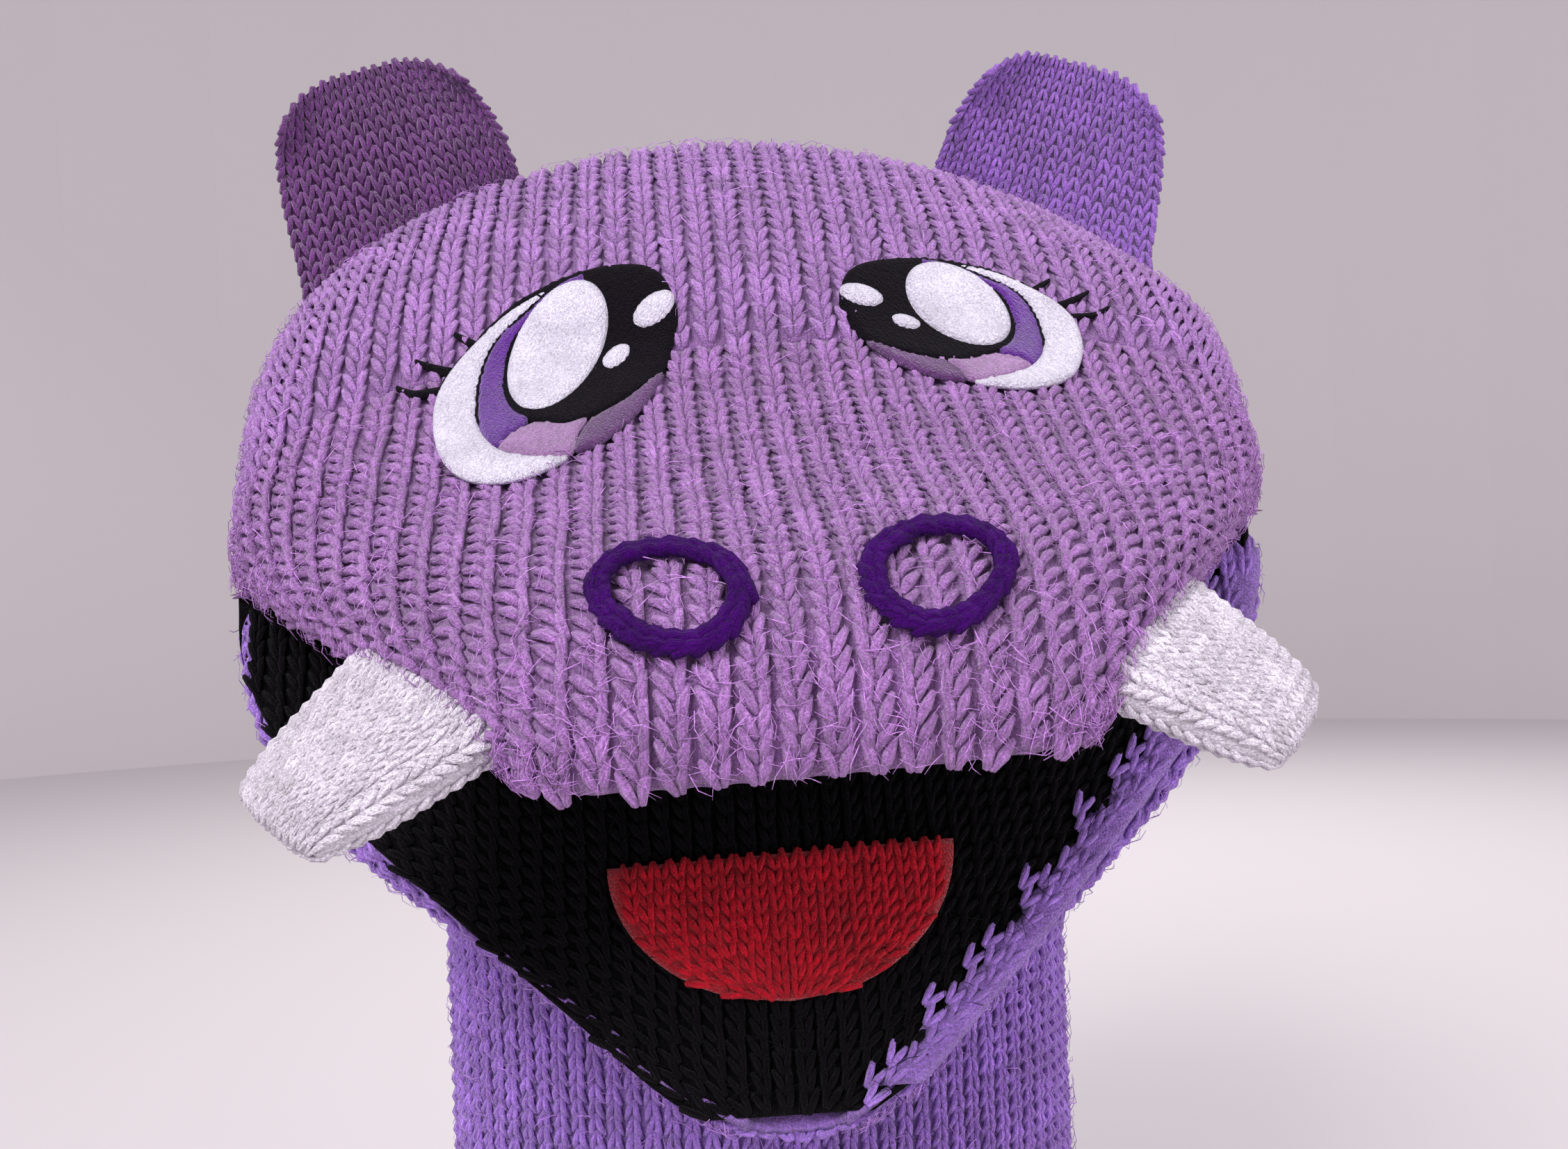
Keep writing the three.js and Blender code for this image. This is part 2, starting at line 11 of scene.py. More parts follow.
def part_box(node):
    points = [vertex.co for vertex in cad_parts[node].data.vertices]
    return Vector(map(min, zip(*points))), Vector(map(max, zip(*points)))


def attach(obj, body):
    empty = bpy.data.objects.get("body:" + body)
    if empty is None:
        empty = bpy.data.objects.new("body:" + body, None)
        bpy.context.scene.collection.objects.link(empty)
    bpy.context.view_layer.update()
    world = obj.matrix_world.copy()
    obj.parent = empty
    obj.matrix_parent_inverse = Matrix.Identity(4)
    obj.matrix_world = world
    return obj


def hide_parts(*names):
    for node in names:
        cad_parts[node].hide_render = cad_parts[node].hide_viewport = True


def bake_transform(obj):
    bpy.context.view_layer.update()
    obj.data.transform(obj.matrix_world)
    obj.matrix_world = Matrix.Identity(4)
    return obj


bl_info = {
    "name": "Knitted hippo puppet",
    "version": (1, 0, 0),
    "blender": (4, 5, 0),
    "location": "3D View > Sidebar > Puppet",
    "description": "Builds the knit, embroidery and stuffing of a hippo hand puppet on its frame",
    "category": "Add Mesh",
}

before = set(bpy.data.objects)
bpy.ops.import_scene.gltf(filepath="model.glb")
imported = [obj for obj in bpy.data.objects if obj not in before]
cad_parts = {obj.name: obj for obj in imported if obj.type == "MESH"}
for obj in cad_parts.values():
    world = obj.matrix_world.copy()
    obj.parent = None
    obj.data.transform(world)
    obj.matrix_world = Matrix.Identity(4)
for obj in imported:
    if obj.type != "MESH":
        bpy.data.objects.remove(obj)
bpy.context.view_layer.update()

MM = 0.001
QUARTER = math.pi / 2
SIDES = (("left", -1), ("right", 1))

# Frame of the head, in millimetres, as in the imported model
FOOT = np.array([64.0, 0.0, 122.6])
PIVOT = np.array([0.0, -40.0, 184.3])
HEAD_HALF = 95.0
LIP_HALF = 38.5
SLEEVE_HALF = 64.0
SLEEVE_REACH = 38.0
HEM_TOP = 18.0
NECK_JOIN = 107.5
UPPER_LENGTH = 86.0
LOWER_LENGTH = 104.0
MUZZLE_RISE = 23.0
CHIN_DEPTH = 11.0
NAPE_REACH = 80.0
CROWN_RISE = 90.0
TOOTH_MIDDLE = 61.0
TOOTH_ROOT = 42.0
TOOTH_TIP = 26.0
TOOTH_REACH = 29.7
TOOTH_DROP = math.radians(30)
EAR_WIDTH = 49.0
EAR_HEIGHT = 35.0
EAR_CUP = 8.0
EAR_LEAN = math.radians(15)
EAR_FOOT = (0.275, 0.505)
EAR_PLACE = 0.51
FINE_YARN = 0.72  # half the thickness of the yarn of the sleeve, throat, chin and mouth
TONGUE_TOP = 57.0
TONGUE_LENGTH = 25.0
NOSTRIL_SIZE = (9.4, 10.2)
NOSTRIL_OUT = 21.0
NOSTRIL_DOWN = 43.0
JAW_SLOPE = (HEAD_HALF - LIP_HALF) / UPPER_LENGTH

# Bodies that a piece of fabric spans, and points for a bend between them that follow does not make: first
# body, second body, start and end of the bend
NECK_BEND = ("sleeve", "neck", (0, 0, 60), (0, 0, 107))
NOD_BEND = ("neck", "head", (0, 0, 108), (0, 0, 145))
UPPER_BEND = ("head", "upper_jaw", (0, -41, PIVOT[2]), (0, -68, PIVOT[2]))
LOWER_BEND = ("head", "lower_jaw", (0, -38, PIVOT[2]), (0, -50, PIVOT[2]))

# The studio, in metres and degrees
FLOOR_HEIGHT = -0.0022
STAGE_RADIUS = 1.6
WALL_HEIGHT = 3.0
CAMERA_DISTANCE = 0.35
CAMERA_HEIGHT = 0.18
CAMERA_AZIMUTH = -4
CAMERA_PAN = -1.3
CAMERA_ROLL = 2.2


def jaw_run(drop):
    return np.array([0.0, -math.cos(math.radians(drop)), -math.sin(math.radians(drop))])


UPPER_RUN = jaw_run(21)
UPPER_DOWN = np.cross([1, 0, 0], UPPER_RUN)
LOWER_RUN = jaw_run(70)
LOWER_BACK = np.cross([1, 0, 0], LOWER_RUN)


# ---------------------------------------------------------------- surfaces
def spline(points, t):
    """Centripetal Catmull-Rom curve through points, at the shares t of its length in points."""
    p = np.asarray(points, float)
    n = len(p)
    ends = np.vstack([2 * p[0] - p[1], p, 2 * p[-1] - p[-2]])
    at = np.clip(np.asarray(t, float), 0, 1) * (n - 1)
    i = np.clip(np.floor(at).astype(int), 0, n - 2)
    w = (at - i)[..., None]
    a, b, c, d = (ends[i + j] for j in range(4))
    gap = [np.sum((x - y) ** 2, -1, keepdims=True) ** 0.25 for x, y in ((b, a), (c, b), (d, c))]
    gap[1] = np.where(gap[1] < 1e-4, 1.0, gap[1])
    gap[0] = np.where(gap[0] < 1e-4, gap[1], gap[0])
    gap[2] = np.where(gap[2] < 1e-4, gap[1], gap[2])
    out = ((b - a) / gap[0] - (c - a) / (gap[0] + gap[1]) + (c - b) / gap[1]) * gap[1]
    into = ((c - b) / gap[1] - (d - b) / (gap[1] + gap[2]) + (d - c) / gap[2]) * gap[1]
    return b + out * w + (-3 * b + 3 * c - 2 * out - into) * w**2 + (2 * b - 2 * c + out + into) * w**3


def ring_spline(points, count):
    """Closed smooth outline through points, with count corners."""
    p = np.asarray(points, float)
    p = np.vstack([p[-2:], p, p[:3]])
    t = np.linspace(2, len(p) - 3, count, endpoint=False) / (len(p) - 1)
    return spline(p, t)


class Surface:
    """A knit surface through stations of (middle, edge, fullness, slope): u -1..1 across, v 0..1 along."""

    def __init__(self, stations, mirror=1):
        self.middles = [s[0] for s in stations]
        self.edges = [s[1] for s in stations]
        self.shapes = [(s[2], s[3] if len(s) > 3 else 0.0) for s in stations]
        self.mirror = mirror

    def __call__(self, u, v):
        u, v = np.broadcast_arrays(np.asarray(u, float), np.asarray(v, float))
        edge = spline(self.edges, v)
        middle = spline(self.middles, v)
        shape = spline(self.shapes, v)
        full, slope = shape[..., 0], shape[..., 1]
        sine, cosine = np.sin(u * QUARTER), np.cos(u * QUARTER)
        stretch = (np.abs(sine) ** full + np.abs(cosine) ** full) ** (-1 / full)
        side = sine * stretch
        height = (cosine * stretch * (1 - slope * side * side))[..., None]
        foot = edge * [0, 1, 1]
        point = foot + (middle - foot) * height
        point[..., 0] = self.mirror * edge[..., 0] * side
        return point


def frames(surface, u, v, step=1e-3):
    """Points, directions along and across, and outward normals of a surface."""
    u, v = np.broadcast_arrays(np.asarray(u, float), np.asarray(v, float))
    across = surface(u + step, v) - surface(u - step, v)
    along = surface(u, np.minimum(v + step, 1)) - surface(u, np.maximum(v - step, 0))
    normal = np.cross(across, along)
    normal /= np.maximum(np.linalg.norm(normal, axis=-1, keepdims=True), 1e-9)
    along = along / np.maximum(np.linalg.norm(along, axis=-1, keepdims=True), 1e-9)
    return surface(u, v), along, np.cross(along, normal), normal


def head_middle(back, up):
    return PIVOT + [0, back * NAPE_REACH, up * CROWN_RISE]


def head_edge(width, back, up):
    corner = PIVOT + [HEAD_HALF, 0, 0]
    return FOOT + (corner - FOOT) * [width, back, up]


def on_jaw(run, distance, across=0.0):
    return PIVOT + run * distance + np.array([across, 0, 0])


def upper_half(distance):
    return HEAD_HALF - JAW_SLOPE * distance


LOWER_OUTLINE = np.array(
    [[1, 0], [0.985, 0.13], [0.89, 0.31], [0.68, 0.52], [0.37, 0.8], [0.2, 0.94], [0.1, 0.985]]
)


def lower_half(distance):
    """Half the width of the lower jaw at a distance from the fold."""
    path = spline(LOWER_OUTLINE * [HEAD_HALF, LOWER_LENGTH], np.linspace(0, 1, 200))
    return np.interp(distance, path[:, 1], path[:, 0])


CROWN_STATIONS = [
    (head_middle(0.99, -0.2), head_edge(0.24, 0.2, 0.58), 2.2, 0.0),
    (head_middle(1.02, 0.18), head_edge(0.64, 0.52, 0.82), 3.0, 0.05),
    (head_middle(0.97, 0.58), head_edge(0.9, 0.84, 0.96), 4.4, 0.16),
    (head_middle(0.82, 0.88), head_edge(1, 1, 1), 6.0, 0.32),
    (head_middle(0.62, 0.99), head_edge(1, 1, 1), 7.0, 0.4),
    (head_middle(0.37, 0.86), head_edge(1, 1, 1), 7.0, 0.36),
    (head_middle(0.12, 0.62), head_edge(1, 1, 1), 5.5, 0.22),
    (head_middle(-0.04, 0.39), head_edge(1, 1, 1), 4.2, 0.1),
    (head_middle(-0.16, 0.27), head_edge(1, 1, 1), 3.2, 0.0),
]
NAPE_FOOT = (np.array([0, SLEEVE_REACH, 136.1]), head_edge(0, 0, 0), 2.0, 0.0)
crown = Surface([NAPE_FOOT] + CROWN_STATIONS, -1)


def muzzle_station(edge, distance, rise, full):
    edge_at = edge * UPPER_LENGTH
    middle = on_jaw(UPPER_RUN, distance * UPPER_LENGTH) - UPPER_DOWN * rise * MUZZLE_RISE
    return middle, on_jaw(UPPER_RUN, edge_at, upper_half(edge_at)), full, 0.0


BRIDGE = math.radians(62)
MUZZLE_STATIONS = [
    muzzle_station(0.02, 24 * math.cos(BRIDGE) / UPPER_LENGTH, 24 * math.sin(BRIDGE) / MUZZLE_RISE, 3),
    muzzle_station(0.16, 0.37, 1.12, 2.9),
    muzzle_station(0.36, 0.6, 1.1, 2.8),
    muzzle_station(0.58, 0.81, 1.02, 2.7),
    muzzle_station(0.78, 0.96, 0.78, 2.7),
    muzzle_station(0.92, 1.04, 0.42, 2.8),
    muzzle_station(0.98, 1.06, 0.02, 3),
]
muzzle = Surface(MUZZLE_STATIONS, -1)


def chin_station(edge, distance, depth):
    edge_at = edge * LOWER_LENGTH
    middle = on_jaw(LOWER_RUN, distance * LOWER_LENGTH) + LOWER_BACK * depth * CHIN_DEPTH
    return middle, on_jaw(LOWER_RUN, edge_at, float(lower_half(edge_at))), 2.6, 0.0


def level_station(facing, height):
    return np.array([0, facing * SLEEVE_REACH, height]), np.array([SLEEVE_HALF, 0, height]), 2.0, 0.0


# The head's fabric is cut where it starts to move with another body.
brow_cut = (np.array([0, -40.0, 223.5]), head_edge(1, 1, 1), 4.5, 0.13)
sleeve_back = Surface([level_station(1, HEM_TOP), level_station(1, NECK_JOIN)], -1)
sleeve_front = Surface([level_station(-1, HEM_TOP), level_station(-1, NECK_JOIN)])
nape = Surface(
    [level_station(1, NECK_JOIN), level_station(1, 115), NAPE_FOOT] + CROWN_STATIONS[:7] + [brow_cut], -1
)
bridge = [
    (np.array([0, -51.0, 213.5]), head_edge(1, 1, 1), 4.0, 0.08),
    (np.array([0, -64.5, 205.0]), on_jaw(UPPER_RUN, 5, upper_half(5)), 3.3, 0.02),
]
snout = Surface([brow_cut] + bridge + MUZZLE_STATIONS[1:], -1)
crease = (np.array([0, -37.0, 150.5]), head_edge(0.97, 0.96, 0.97), 2.2, 0.0)
throat = Surface(
    [
        level_station(-1, NECK_JOIN),
        level_station(-1, 115),
        (np.array([0, -SLEEVE_REACH, 136.1]), head_edge(0, 0, 0), 2.0),
        (head_middle(0.05, -0.47), head_edge(0.3, 0.25, 0.6), 2.0),
        (head_middle(0.08, -0.4), head_edge(0.84, 0.76, 0.9), 2.1),
        crease,
    ]
)
chin = Surface(
    [
        crease,
        chin_station(0.06, 0.4, 1),
        chin_station(0.2, 0.47, 1.05),
        chin_station(0.4, 0.58, 1.05),
        chin_station(0.6, 0.7, 1),
        chin_station(0.8, 0.83, 0.92),
        chin_station(0.93, 0.94, 0.75),
        chin_station(0.985, 0.995, 0.5),
    ]
)


# ---------------------------------------------------------------- meshes
def ease(value, low, high):
    """0 below low, 1 above high, smooth between."""
    share = np.clip((value - low) / (high - low), 0, 1)
    return share * share * (3 - 2 * share)


def leaning(points):
    """The face sits a little askew on the hand: its right side is higher."""
    p = np.array(points, float)
    share = ease(-p[:, 1], 5, 38) * ease(p[:, 2], 85, 150)
    p[:, 2] += 0.045 * p[:, 0] * share
    return p


def make_mesh(name, points, faces, material, strand=None, tint=None, smooth=True):
    """A mesh object in metres from points in millimetres, with the attributes that the yarns read."""
    mesh = bpy.data.meshes.new(name)
    mesh.from_pydata(leaning(points) * MM, [], faces)
    mesh.validate()
    mesh.update()
    count = len(mesh.vertices)
    layer = mesh.attributes.new("strand", "FLOAT_VECTOR", "POINT")
    values = np.asarray(points, float) if strand is None else np.asarray(strand, float)
    layer.data.foreach_set("vector", values[:count].ravel())
    layer = mesh.attributes.new("tint", "FLOAT", "POINT")
    layer.data.foreach_set("value", np.full(count, 0.5) if tint is None else np.asarray(tint, float)[:count])
    mesh.polygons.foreach_set("use_smooth", [smooth] * len(mesh.polygons))
    mesh.materials.append(material)
    made = bpy.data.objects.new(name, mesh)
    bpy.context.scene.collection.objects.link(made)
    return made


def grid_faces(rows, columns, start=0, turn=False):
    """Quads of a grid of rows x columns points."""
    i = np.arange((rows - 1) * columns).reshape(rows - 1, columns)[:, :-1] + start
    quads = np.stack([i, i + 1, i + columns + 1, i + columns], -1).reshape(-1, 4)
    return quads[:, ::-1] if turn else quads


def closed_sheet(outer, inner):
    """Points and faces of a closed sheet between two grids of the same shape."""
    rows, columns = outer.shape[:2]
    total = rows * columns
    faces = [*grid_faces(rows, columns).tolist(), *grid_faces(rows, columns, total, True).tolist()]
    index = np.arange(total).reshape(rows, columns)
    rim = np.concatenate([index[0, :], index[1:, -1], index[-1, -2::-1], index[-2:0:-1, 0]])
    ahead = np.roll(rim, -1)
    faces += np.stack([ahead, rim, rim + total, ahead + total], -1).tolist()
    return np.vstack([outer.reshape(-1, 3), inner.reshape(-1, 3)]), faces


def strand(centre, radii, sides=5):
    """A tapered strand of yarn: points, faces, and (along, round, round) of each point."""
    centre = np.asarray(centre, float)
    heading = np.gradient(centre, axis=0)
    heading /= np.linalg.norm(heading, axis=1, keepdims=True)
    points, marks = [], []
    length = np.concatenate([[0], np.cumsum(np.linalg.norm(np.diff(centre, axis=0), axis=1))])
    for c, h, r, at in zip(centre, heading, radii, length):
        wide = np.cross(h, [0, 0, 1.0])
        wide /= np.linalg.norm(wide)
        tall = np.cross(wide, h)
        for k in range(sides):
            a = 2 * math.pi * k / sides
            points.append(c + r * (math.cos(a) * wide + math.sin(a) * tall))
            marks.append((at, r * math.cos(a), r * math.sin(a)))
    first, last = len(points), len(points) + 1
    points += [centre[0] - heading[0] * radii[0] * 0.7, centre[-1] + heading[-1] * radii[-1] * 0.7]
    marks += [(-radii[0], 0, 0), (length[-1] + radii[-1], 0, 0)]
    faces = []
    for ring in range(len(centre) - 1):
        for k in range(sides):
            a, b = ring * sides + k, ring * sides + (k + 1) % sides
            faces.append((a, b, b + sides, a + sides))
    end = (len(centre) - 1) * sides
    for k in range(sides):
        faces.append((first, (k + 1) % sides, k))
        faces.append((last, end + k, end + (k + 1) % sides))
    return np.array(points), faces, np.array(marks)


def stitch_shape(pitch, row, radius, spread=0.235, overlap=0.66, rise=0.35):
    """Both legs of one knit stitch, pointing along +y: two strands that meet at the point of a V."""
    points, faces, marks = [], [], []
    for side in (-1, 1):
        centre = [
            (side * pitch * spread * 1.5, -row * overlap, -rise * 1.7),
            (side * pitch * spread * 0.88, 0, rise),
            (side * pitch * spread * 0.3, row * overlap * 1.05, -rise * 0.8),
        ]
        p, f, m = strand(centre, (radius * 0.75, radius, radius * 0.7))
        faces += [tuple(i + len(points) for i in face) for face in f]
        points += p.tolist()
        marks += m.tolist()
    return np.array(points), faces, np.array(marks)


def stitches(
    name, surface, u, v, shape, material, seed, wide=1.0, lift=0.0, jitter=0.12, swing=0.07, vary=0.05
):
    """Copies of a stitch at (u, v) on a surface, as one mesh."""
    points, faces, marks = shape
    base, along, across, normal = frames(surface, u, v)
    draw = np.random.default_rng(seed)
    count = len(base)
    base = base + across * draw.normal(0, jitter, (count, 1)) + along * draw.normal(0, jitter, (count, 1))
    size = np.ones((count, 3)) * np.abs(draw.normal(1, vary, (count, 1)))
    size[:, 0] *= wide
    lean = draw.normal(0, swing, count)
    local = points[None] * size[:, None]
    x = local[..., 0] * np.cos(lean)[:, None] - local[..., 1] * np.sin(lean)[:, None]
    y = local[..., 0] * np.sin(lean)[:, None] + local[..., 1] * np.cos(lean)[:, None]
    z = local[..., 2] + lift
    world = base[:, None] + x[..., None] * across[:, None] + y[..., None] * along[:, None]
    world = world + z[..., None] * normal[:, None]
    shift = np.arange(count) * len(points)
    every = []
    for face in faces:
        every += (np.asarray(face)[None] + shift[:, None]).tolist()
    tint = np.repeat(draw.random(count), len(points))
    return make_mesh(name, world.reshape(-1, 3), every, material, np.tile(marks, (count, 1)), tint)


def clear_of_eyes(points, margin=6.0):
    """Whether each point is outside the boxes of the two eyes."""
    clear = np.ones(len(points), dtype=bool)
    for side, _ in SIDES:
        low, high = (np.array(corner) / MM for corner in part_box("eye_white_" + side))
        clear &= ~np.all((points > low - margin) & (points < high + margin), axis=1)
    return clear


def fibres(label, surface, count, material, seed, lift=0.5, reach=1.0):
    """Loose hairs of wool that stand off a piece of fabric, away from the eyes."""
    draw = np.random.default_rng(seed)
    u, v = draw.uniform(-0.96, 0.96, count), draw.uniform(0.02, 0.99, count)
    clear = clear_of_eyes(surface(u, v))
    u, v = u[clear], v[clear]
    centre = [(0, -1.5 * reach, -0.2), (0.35, 0.1, 0.75), (-0.1, 1.6 * reach, 0.55)]
    hair = strand(centre, (0.07, 0.055, 0.03), sides=3)
    loose = {"lift": lift, "jitter": 0.4, "swing": 1.6, "vary": 0.35}
    return stitches(label + "_fibres", surface, u, v, hair, material, seed, **loose)


def section_lengths(surface, v, samples=241):
    """u samples, and the length across each section from its middle, signed."""
    u = np.linspace(-1, 1, samples)
    points = surface(u[None], v[:, None])
    steps = np.linalg.norm(np.diff(points, axis=1), axis=2)
    length = np.concatenate([np.zeros((len(v), 1)), np.cumsum(steps, axis=1)], axis=1)
    return u, length - length[:, [samples // 2]]


def rib_places(surface, pitch, row, edge=0.45, samples=200):
    """(u, v) of every stitch: ribs a pitch apart from the middle, rows a row apart along each rib."""
    v = np.linspace(0, 1, samples)
    u, across = section_lengths(surface, v)
    apart = pitch(v)
    most = int(np.max(across[:, -1] / apart)) + 1
    all_u, all_v = [], []
    for rib in range(-most, most):
        target = (rib + 0.5) * apart
        reach = np.where(target > 0, across[:, -1], -across[:, 0])
        rib_u = np.array([np.interp(t, line, u) for t, line in zip(target, across)])
        path = surface(rib_u, v)
        length = np.concatenate([[0], np.cumsum(np.linalg.norm(np.diff(path, axis=0), axis=1))])
        places = np.arange(row * 0.5, length[-1] - row * 0.2, row)
        at = np.interp(places, length, v)
        held = np.interp(at, v, (np.abs(target) < reach - edge * apart).astype(float)) > 0.99
        all_u.append(np.interp(at, v, rib_u)[held])
        all_v.append(at[held])
    return np.concatenate(all_u), np.concatenate(all_v)


def ribbed_skin(
    name, surface, pitch, material, across_step=1.0, along_step=3.0, depth=0.9, wall=1.3, top=-0.35
):
    """The closed backing of a ribbed knit: peaks under the ribs, valleys between them."""
    v = np.linspace(0, 1, 60)
    middle = surface(np.zeros(60), v)
    rows = max(4, int(np.sum(np.linalg.norm(np.diff(middle, axis=0), axis=1)) / along_step))
    v = np.linspace(0, 1, rows + 1)
    u, across = section_lengths(surface, v)
    columns = int(np.max(across[:, -1] - across[:, 0]) / across_step)
    places = across[:, :1] + (across[:, -1:] - across[:, :1]) * np.linspace(0, 1, columns + 1)[None]
    us = np.array([np.interp(p, line, u) for p, line in zip(places, across)])
    us = np.clip(us, -0.995, 0.995)
    base, _, _, normal = frames(surface, us, v[:, None])
    rib = np.cos(2 * math.pi * (places / pitch(v)[:, None] - 0.5))
    outer = base + normal * (top - depth * (0.5 - 0.5 * rib))[..., None]
    inner = base + normal * (top - depth - wall)
    points, faces = closed_sheet(outer, inner)
    marks = np.stack([np.broadcast_to(v[:, None] * 60, places.shape), places, 0 * places], -1).reshape(-1, 3)
    return make_mesh(name, points, faces, material, np.vstack([marks, marks]))


# ---------------------------------------------------------------- materials
def linear(value):
    return tuple(c / 12.92 if c <= 0.04045 else ((c + 0.055) / 1.055) ** 2.4 for c in value)


def node(tree, kind, at, **values):
    made = tree.nodes.new(kind)
    made.location = at
    for key, value in values.items():
        setattr(made, key, value)
    return made


def wool_group():
    """Fibres that run along each strand, heathered colour and fuzz, from a yarn colour."""
    group = bpy.data.node_groups.get("wool")
    if group:
        return group
    group = bpy.data.node_groups.new("wool", "ShaderNodeTree")
    face = group.interface
    colour_in = face.new_socket("Yarn", in_out="INPUT", socket_type="NodeSocketColor")
    colour_in.default_value = (0.3, 0.15, 0.35, 1)
    for label, default in (("Depth", 0.6), ("Heather", 0.25), ("Fuzz", 0.5)):
        face.new_socket(label, in_out="INPUT", socket_type="NodeSocketFloat").default_value = default
    face.new_socket("Color", in_out="OUTPUT", socket_type="NodeSocketColor")
    face.new_socket("Height", in_out="OUTPUT", socket_type="NodeSocketFloat")
    face.new_socket("Roughness", in_out="OUTPUT", socket_type="NodeSocketFloat")
    ins, outs = node(group, "NodeGroupInput", (-900, 0)), node(group, "NodeGroupOutput", (700, 0))
    link = group.links.new
    mark = node(group, "ShaderNodeAttribute", (-900, 400), attribute_name="strand")
    tint = node(group, "ShaderNodeAttribute", (-900, 200), attribute_name="tint")
    place = node(group, "ShaderNodeTexCoord", (-900, -300))
    spin = node(group, "ShaderNodeMath", (-700, 200), operation="MULTIPLY")
    spin.inputs[1].default_value = 90
    link(tint.outputs["Fac"], spin.inputs[0])
    squash = node(group, "ShaderNodeMapping", (-700, 450))
    squash.inputs["Scale"].default_value = (0.4, 2.0, 2.0)
    link(mark.outputs["Vector"], squash.inputs["Vector"])
    fibre = node(group, "ShaderNodeTexNoise", (-500, 400), noise_dimensions="4D")
    fibre.inputs["Scale"].default_value = 1.4
    fibre.inputs["Detail"].default_value = 3
    fibre.inputs["Roughness"].default_value = 0.65
    link(squash.outputs["Vector"], fibre.inputs["Vector"])
    link(spin.outputs[0], fibre.inputs["W"])
    fuzz = node(group, "ShaderNodeTexNoise", (-500, 100))
    fuzz.inputs["Scale"].default_value = 2600
    fuzz.inputs["Detail"].default_value = 2
    link(place.outputs["Object"], fuzz.inputs["Vector"])
    heather = node(group, "ShaderNodeTexNoise", (-500, -200))
    heather.inputs["Scale"].default_value = 130
    heather.inputs["Detail"].default_value = 4
    link(place.outputs["Object"], heather.inputs["Vector"])

    def ranged(source, low, high, at):
        made = node(group, "ShaderNodeMapRange", at)
        made.inputs["From Min"].default_value = 0.3
        made.inputs["From Max"].default_value = 0.7
        made.inputs["To Min"].default_value = low
        made.inputs["To Max"].default_value = high
        link(source, made.inputs["Value"])
        return made.outputs["Result"]

    def combine(kind, a, b, at):
        made = node(group, "ShaderNodeMath", at, operation=kind)
        for socket, value in zip(made.inputs, (a, b)):
            if isinstance(value, (int, float)):
                socket.default_value = value
            else:
                link(value, socket)
        return made.outputs[0]

    streak = ranged(fibre.outputs["Fac"], -1, 1, (-300, 400))
    blotch = ranged(heather.outputs["Fac"], -1, 1, (-300, -200))
    speck = ranged(fuzz.outputs["Fac"], -1, 1, (-300, 100))
    own = combine("SUBTRACT", tint.outputs["Fac"], 0.5, (-300, 250))
    light = combine("MULTIPLY", streak, ins.outputs["Depth"], (-100, 400))
    patchy = combine("MULTIPLY", blotch, ins.outputs["Heather"], (-100, -200))
    light = combine("ADD", light, patchy, (50, 350))
    fuzzy = combine("MULTIPLY", ins.outputs["Fuzz"], 0.7, (-300, -50))
    light = combine("ADD", light, combine("MULTIPLY", speck, fuzzy, (-100, 100)), (150, 300))
    light = combine("ADD", light, combine("MULTIPLY", own, 0.35, (-100, 250)), (250, 300))
    power = combine("POWER", 2.0, light, (350, 300))
    tone = node(group, "ShaderNodeVectorMath", (500, 200), operation="SCALE")
    link(ins.outputs["Yarn"], tone.inputs[0])
    link(power, tone.inputs["Scale"])
    link(tone.outputs["Vector"], outs.inputs["Color"])
    height = combine("ADD", streak, combine("MULTIPLY", speck, ins.outputs["Fuzz"], (150, 0)), (350, 50))
    link(height, outs.inputs["Height"])
    rough = ranged(fibre.outputs["Fac"], 0.98, 0.78, (350, -150))
    link(rough, outs.inputs["Roughness"])
    return group


def yarn(name, colour, depth=0.6, heather=0.2, fuzz=0.6, sheen=0.35, bump=0.00045):
    """A knitting yarn or thread of one colour."""
    name = "wool_" + name
    old = bpy.data.materials.get(name)
    if old:
        return old
    made = bpy.data.materials.new(name)
    made.use_nodes = True
    tree = made.node_tree
    shader = tree.nodes["Principled BSDF"]
    wool = node(tree, "ShaderNodeGroup", (-500, 200), node_tree=wool_group())
    wool.inputs["Yarn"].default_value = (*linear(colour), 1)
    wool.inputs["Depth"].default_value = depth
    wool.inputs["Heather"].default_value = heather
    wool.inputs["Fuzz"].default_value = fuzz
    relief = node(tree, "ShaderNodeBump", (-250, -100))
    relief.inputs["Distance"].default_value = bump
    relief.inputs["Strength"].default_value = 0.8
    tree.links.new(wool.outputs["Color"], shader.inputs["Base Color"])
    tree.links.new(wool.outputs["Roughness"], shader.inputs["Roughness"])
    tree.links.new(wool.outputs["Height"], relief.inputs["Height"])
    tree.links.new(relief.outputs["Normal"], shader.inputs["Normal"])
    shader.inputs["Sheen Weight"].default_value = sheen if max(colour) > 0.4 else 0.03
    shader.inputs["Sheen Roughness"].default_value = 0.4
    shader.inputs["Specular IOR Level"].default_value = 0.25 if max(colour) > 0.4 else 0.08
    made.diffuse_color = (*linear(colour), 1)
    return made


def settings():
    return bpy.context.scene.puppet


def shade(colour, factor):
    return tuple(min(1.0, c * factor) for c in colour)


def fine_rib(s, label, surface, colour, seed, slot="sleeve_knit", **more):
    """A ribbed piece in the finer knit of the sleeve."""
    pitch = constant(s.sleeve_pitch)
    return ribbed(label, surface, pitch, s.sleeve_row, FINE_YARN, colour, seed, slot=slot, **more)


def fine_stitch(s):
    return stitch_shape(s.sleeve_pitch, s.sleeve_row, FINE_YARN)


def follow(pieces, first, second=None, start=None, end=None):
    """Pieces ride on one body; pieces given a second body are only fixed where they stand and do not bend.
    Start and end are not used.
    """
    for piece in pieces:
        if second is None:
            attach(piece, first)
        else:
            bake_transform(piece)


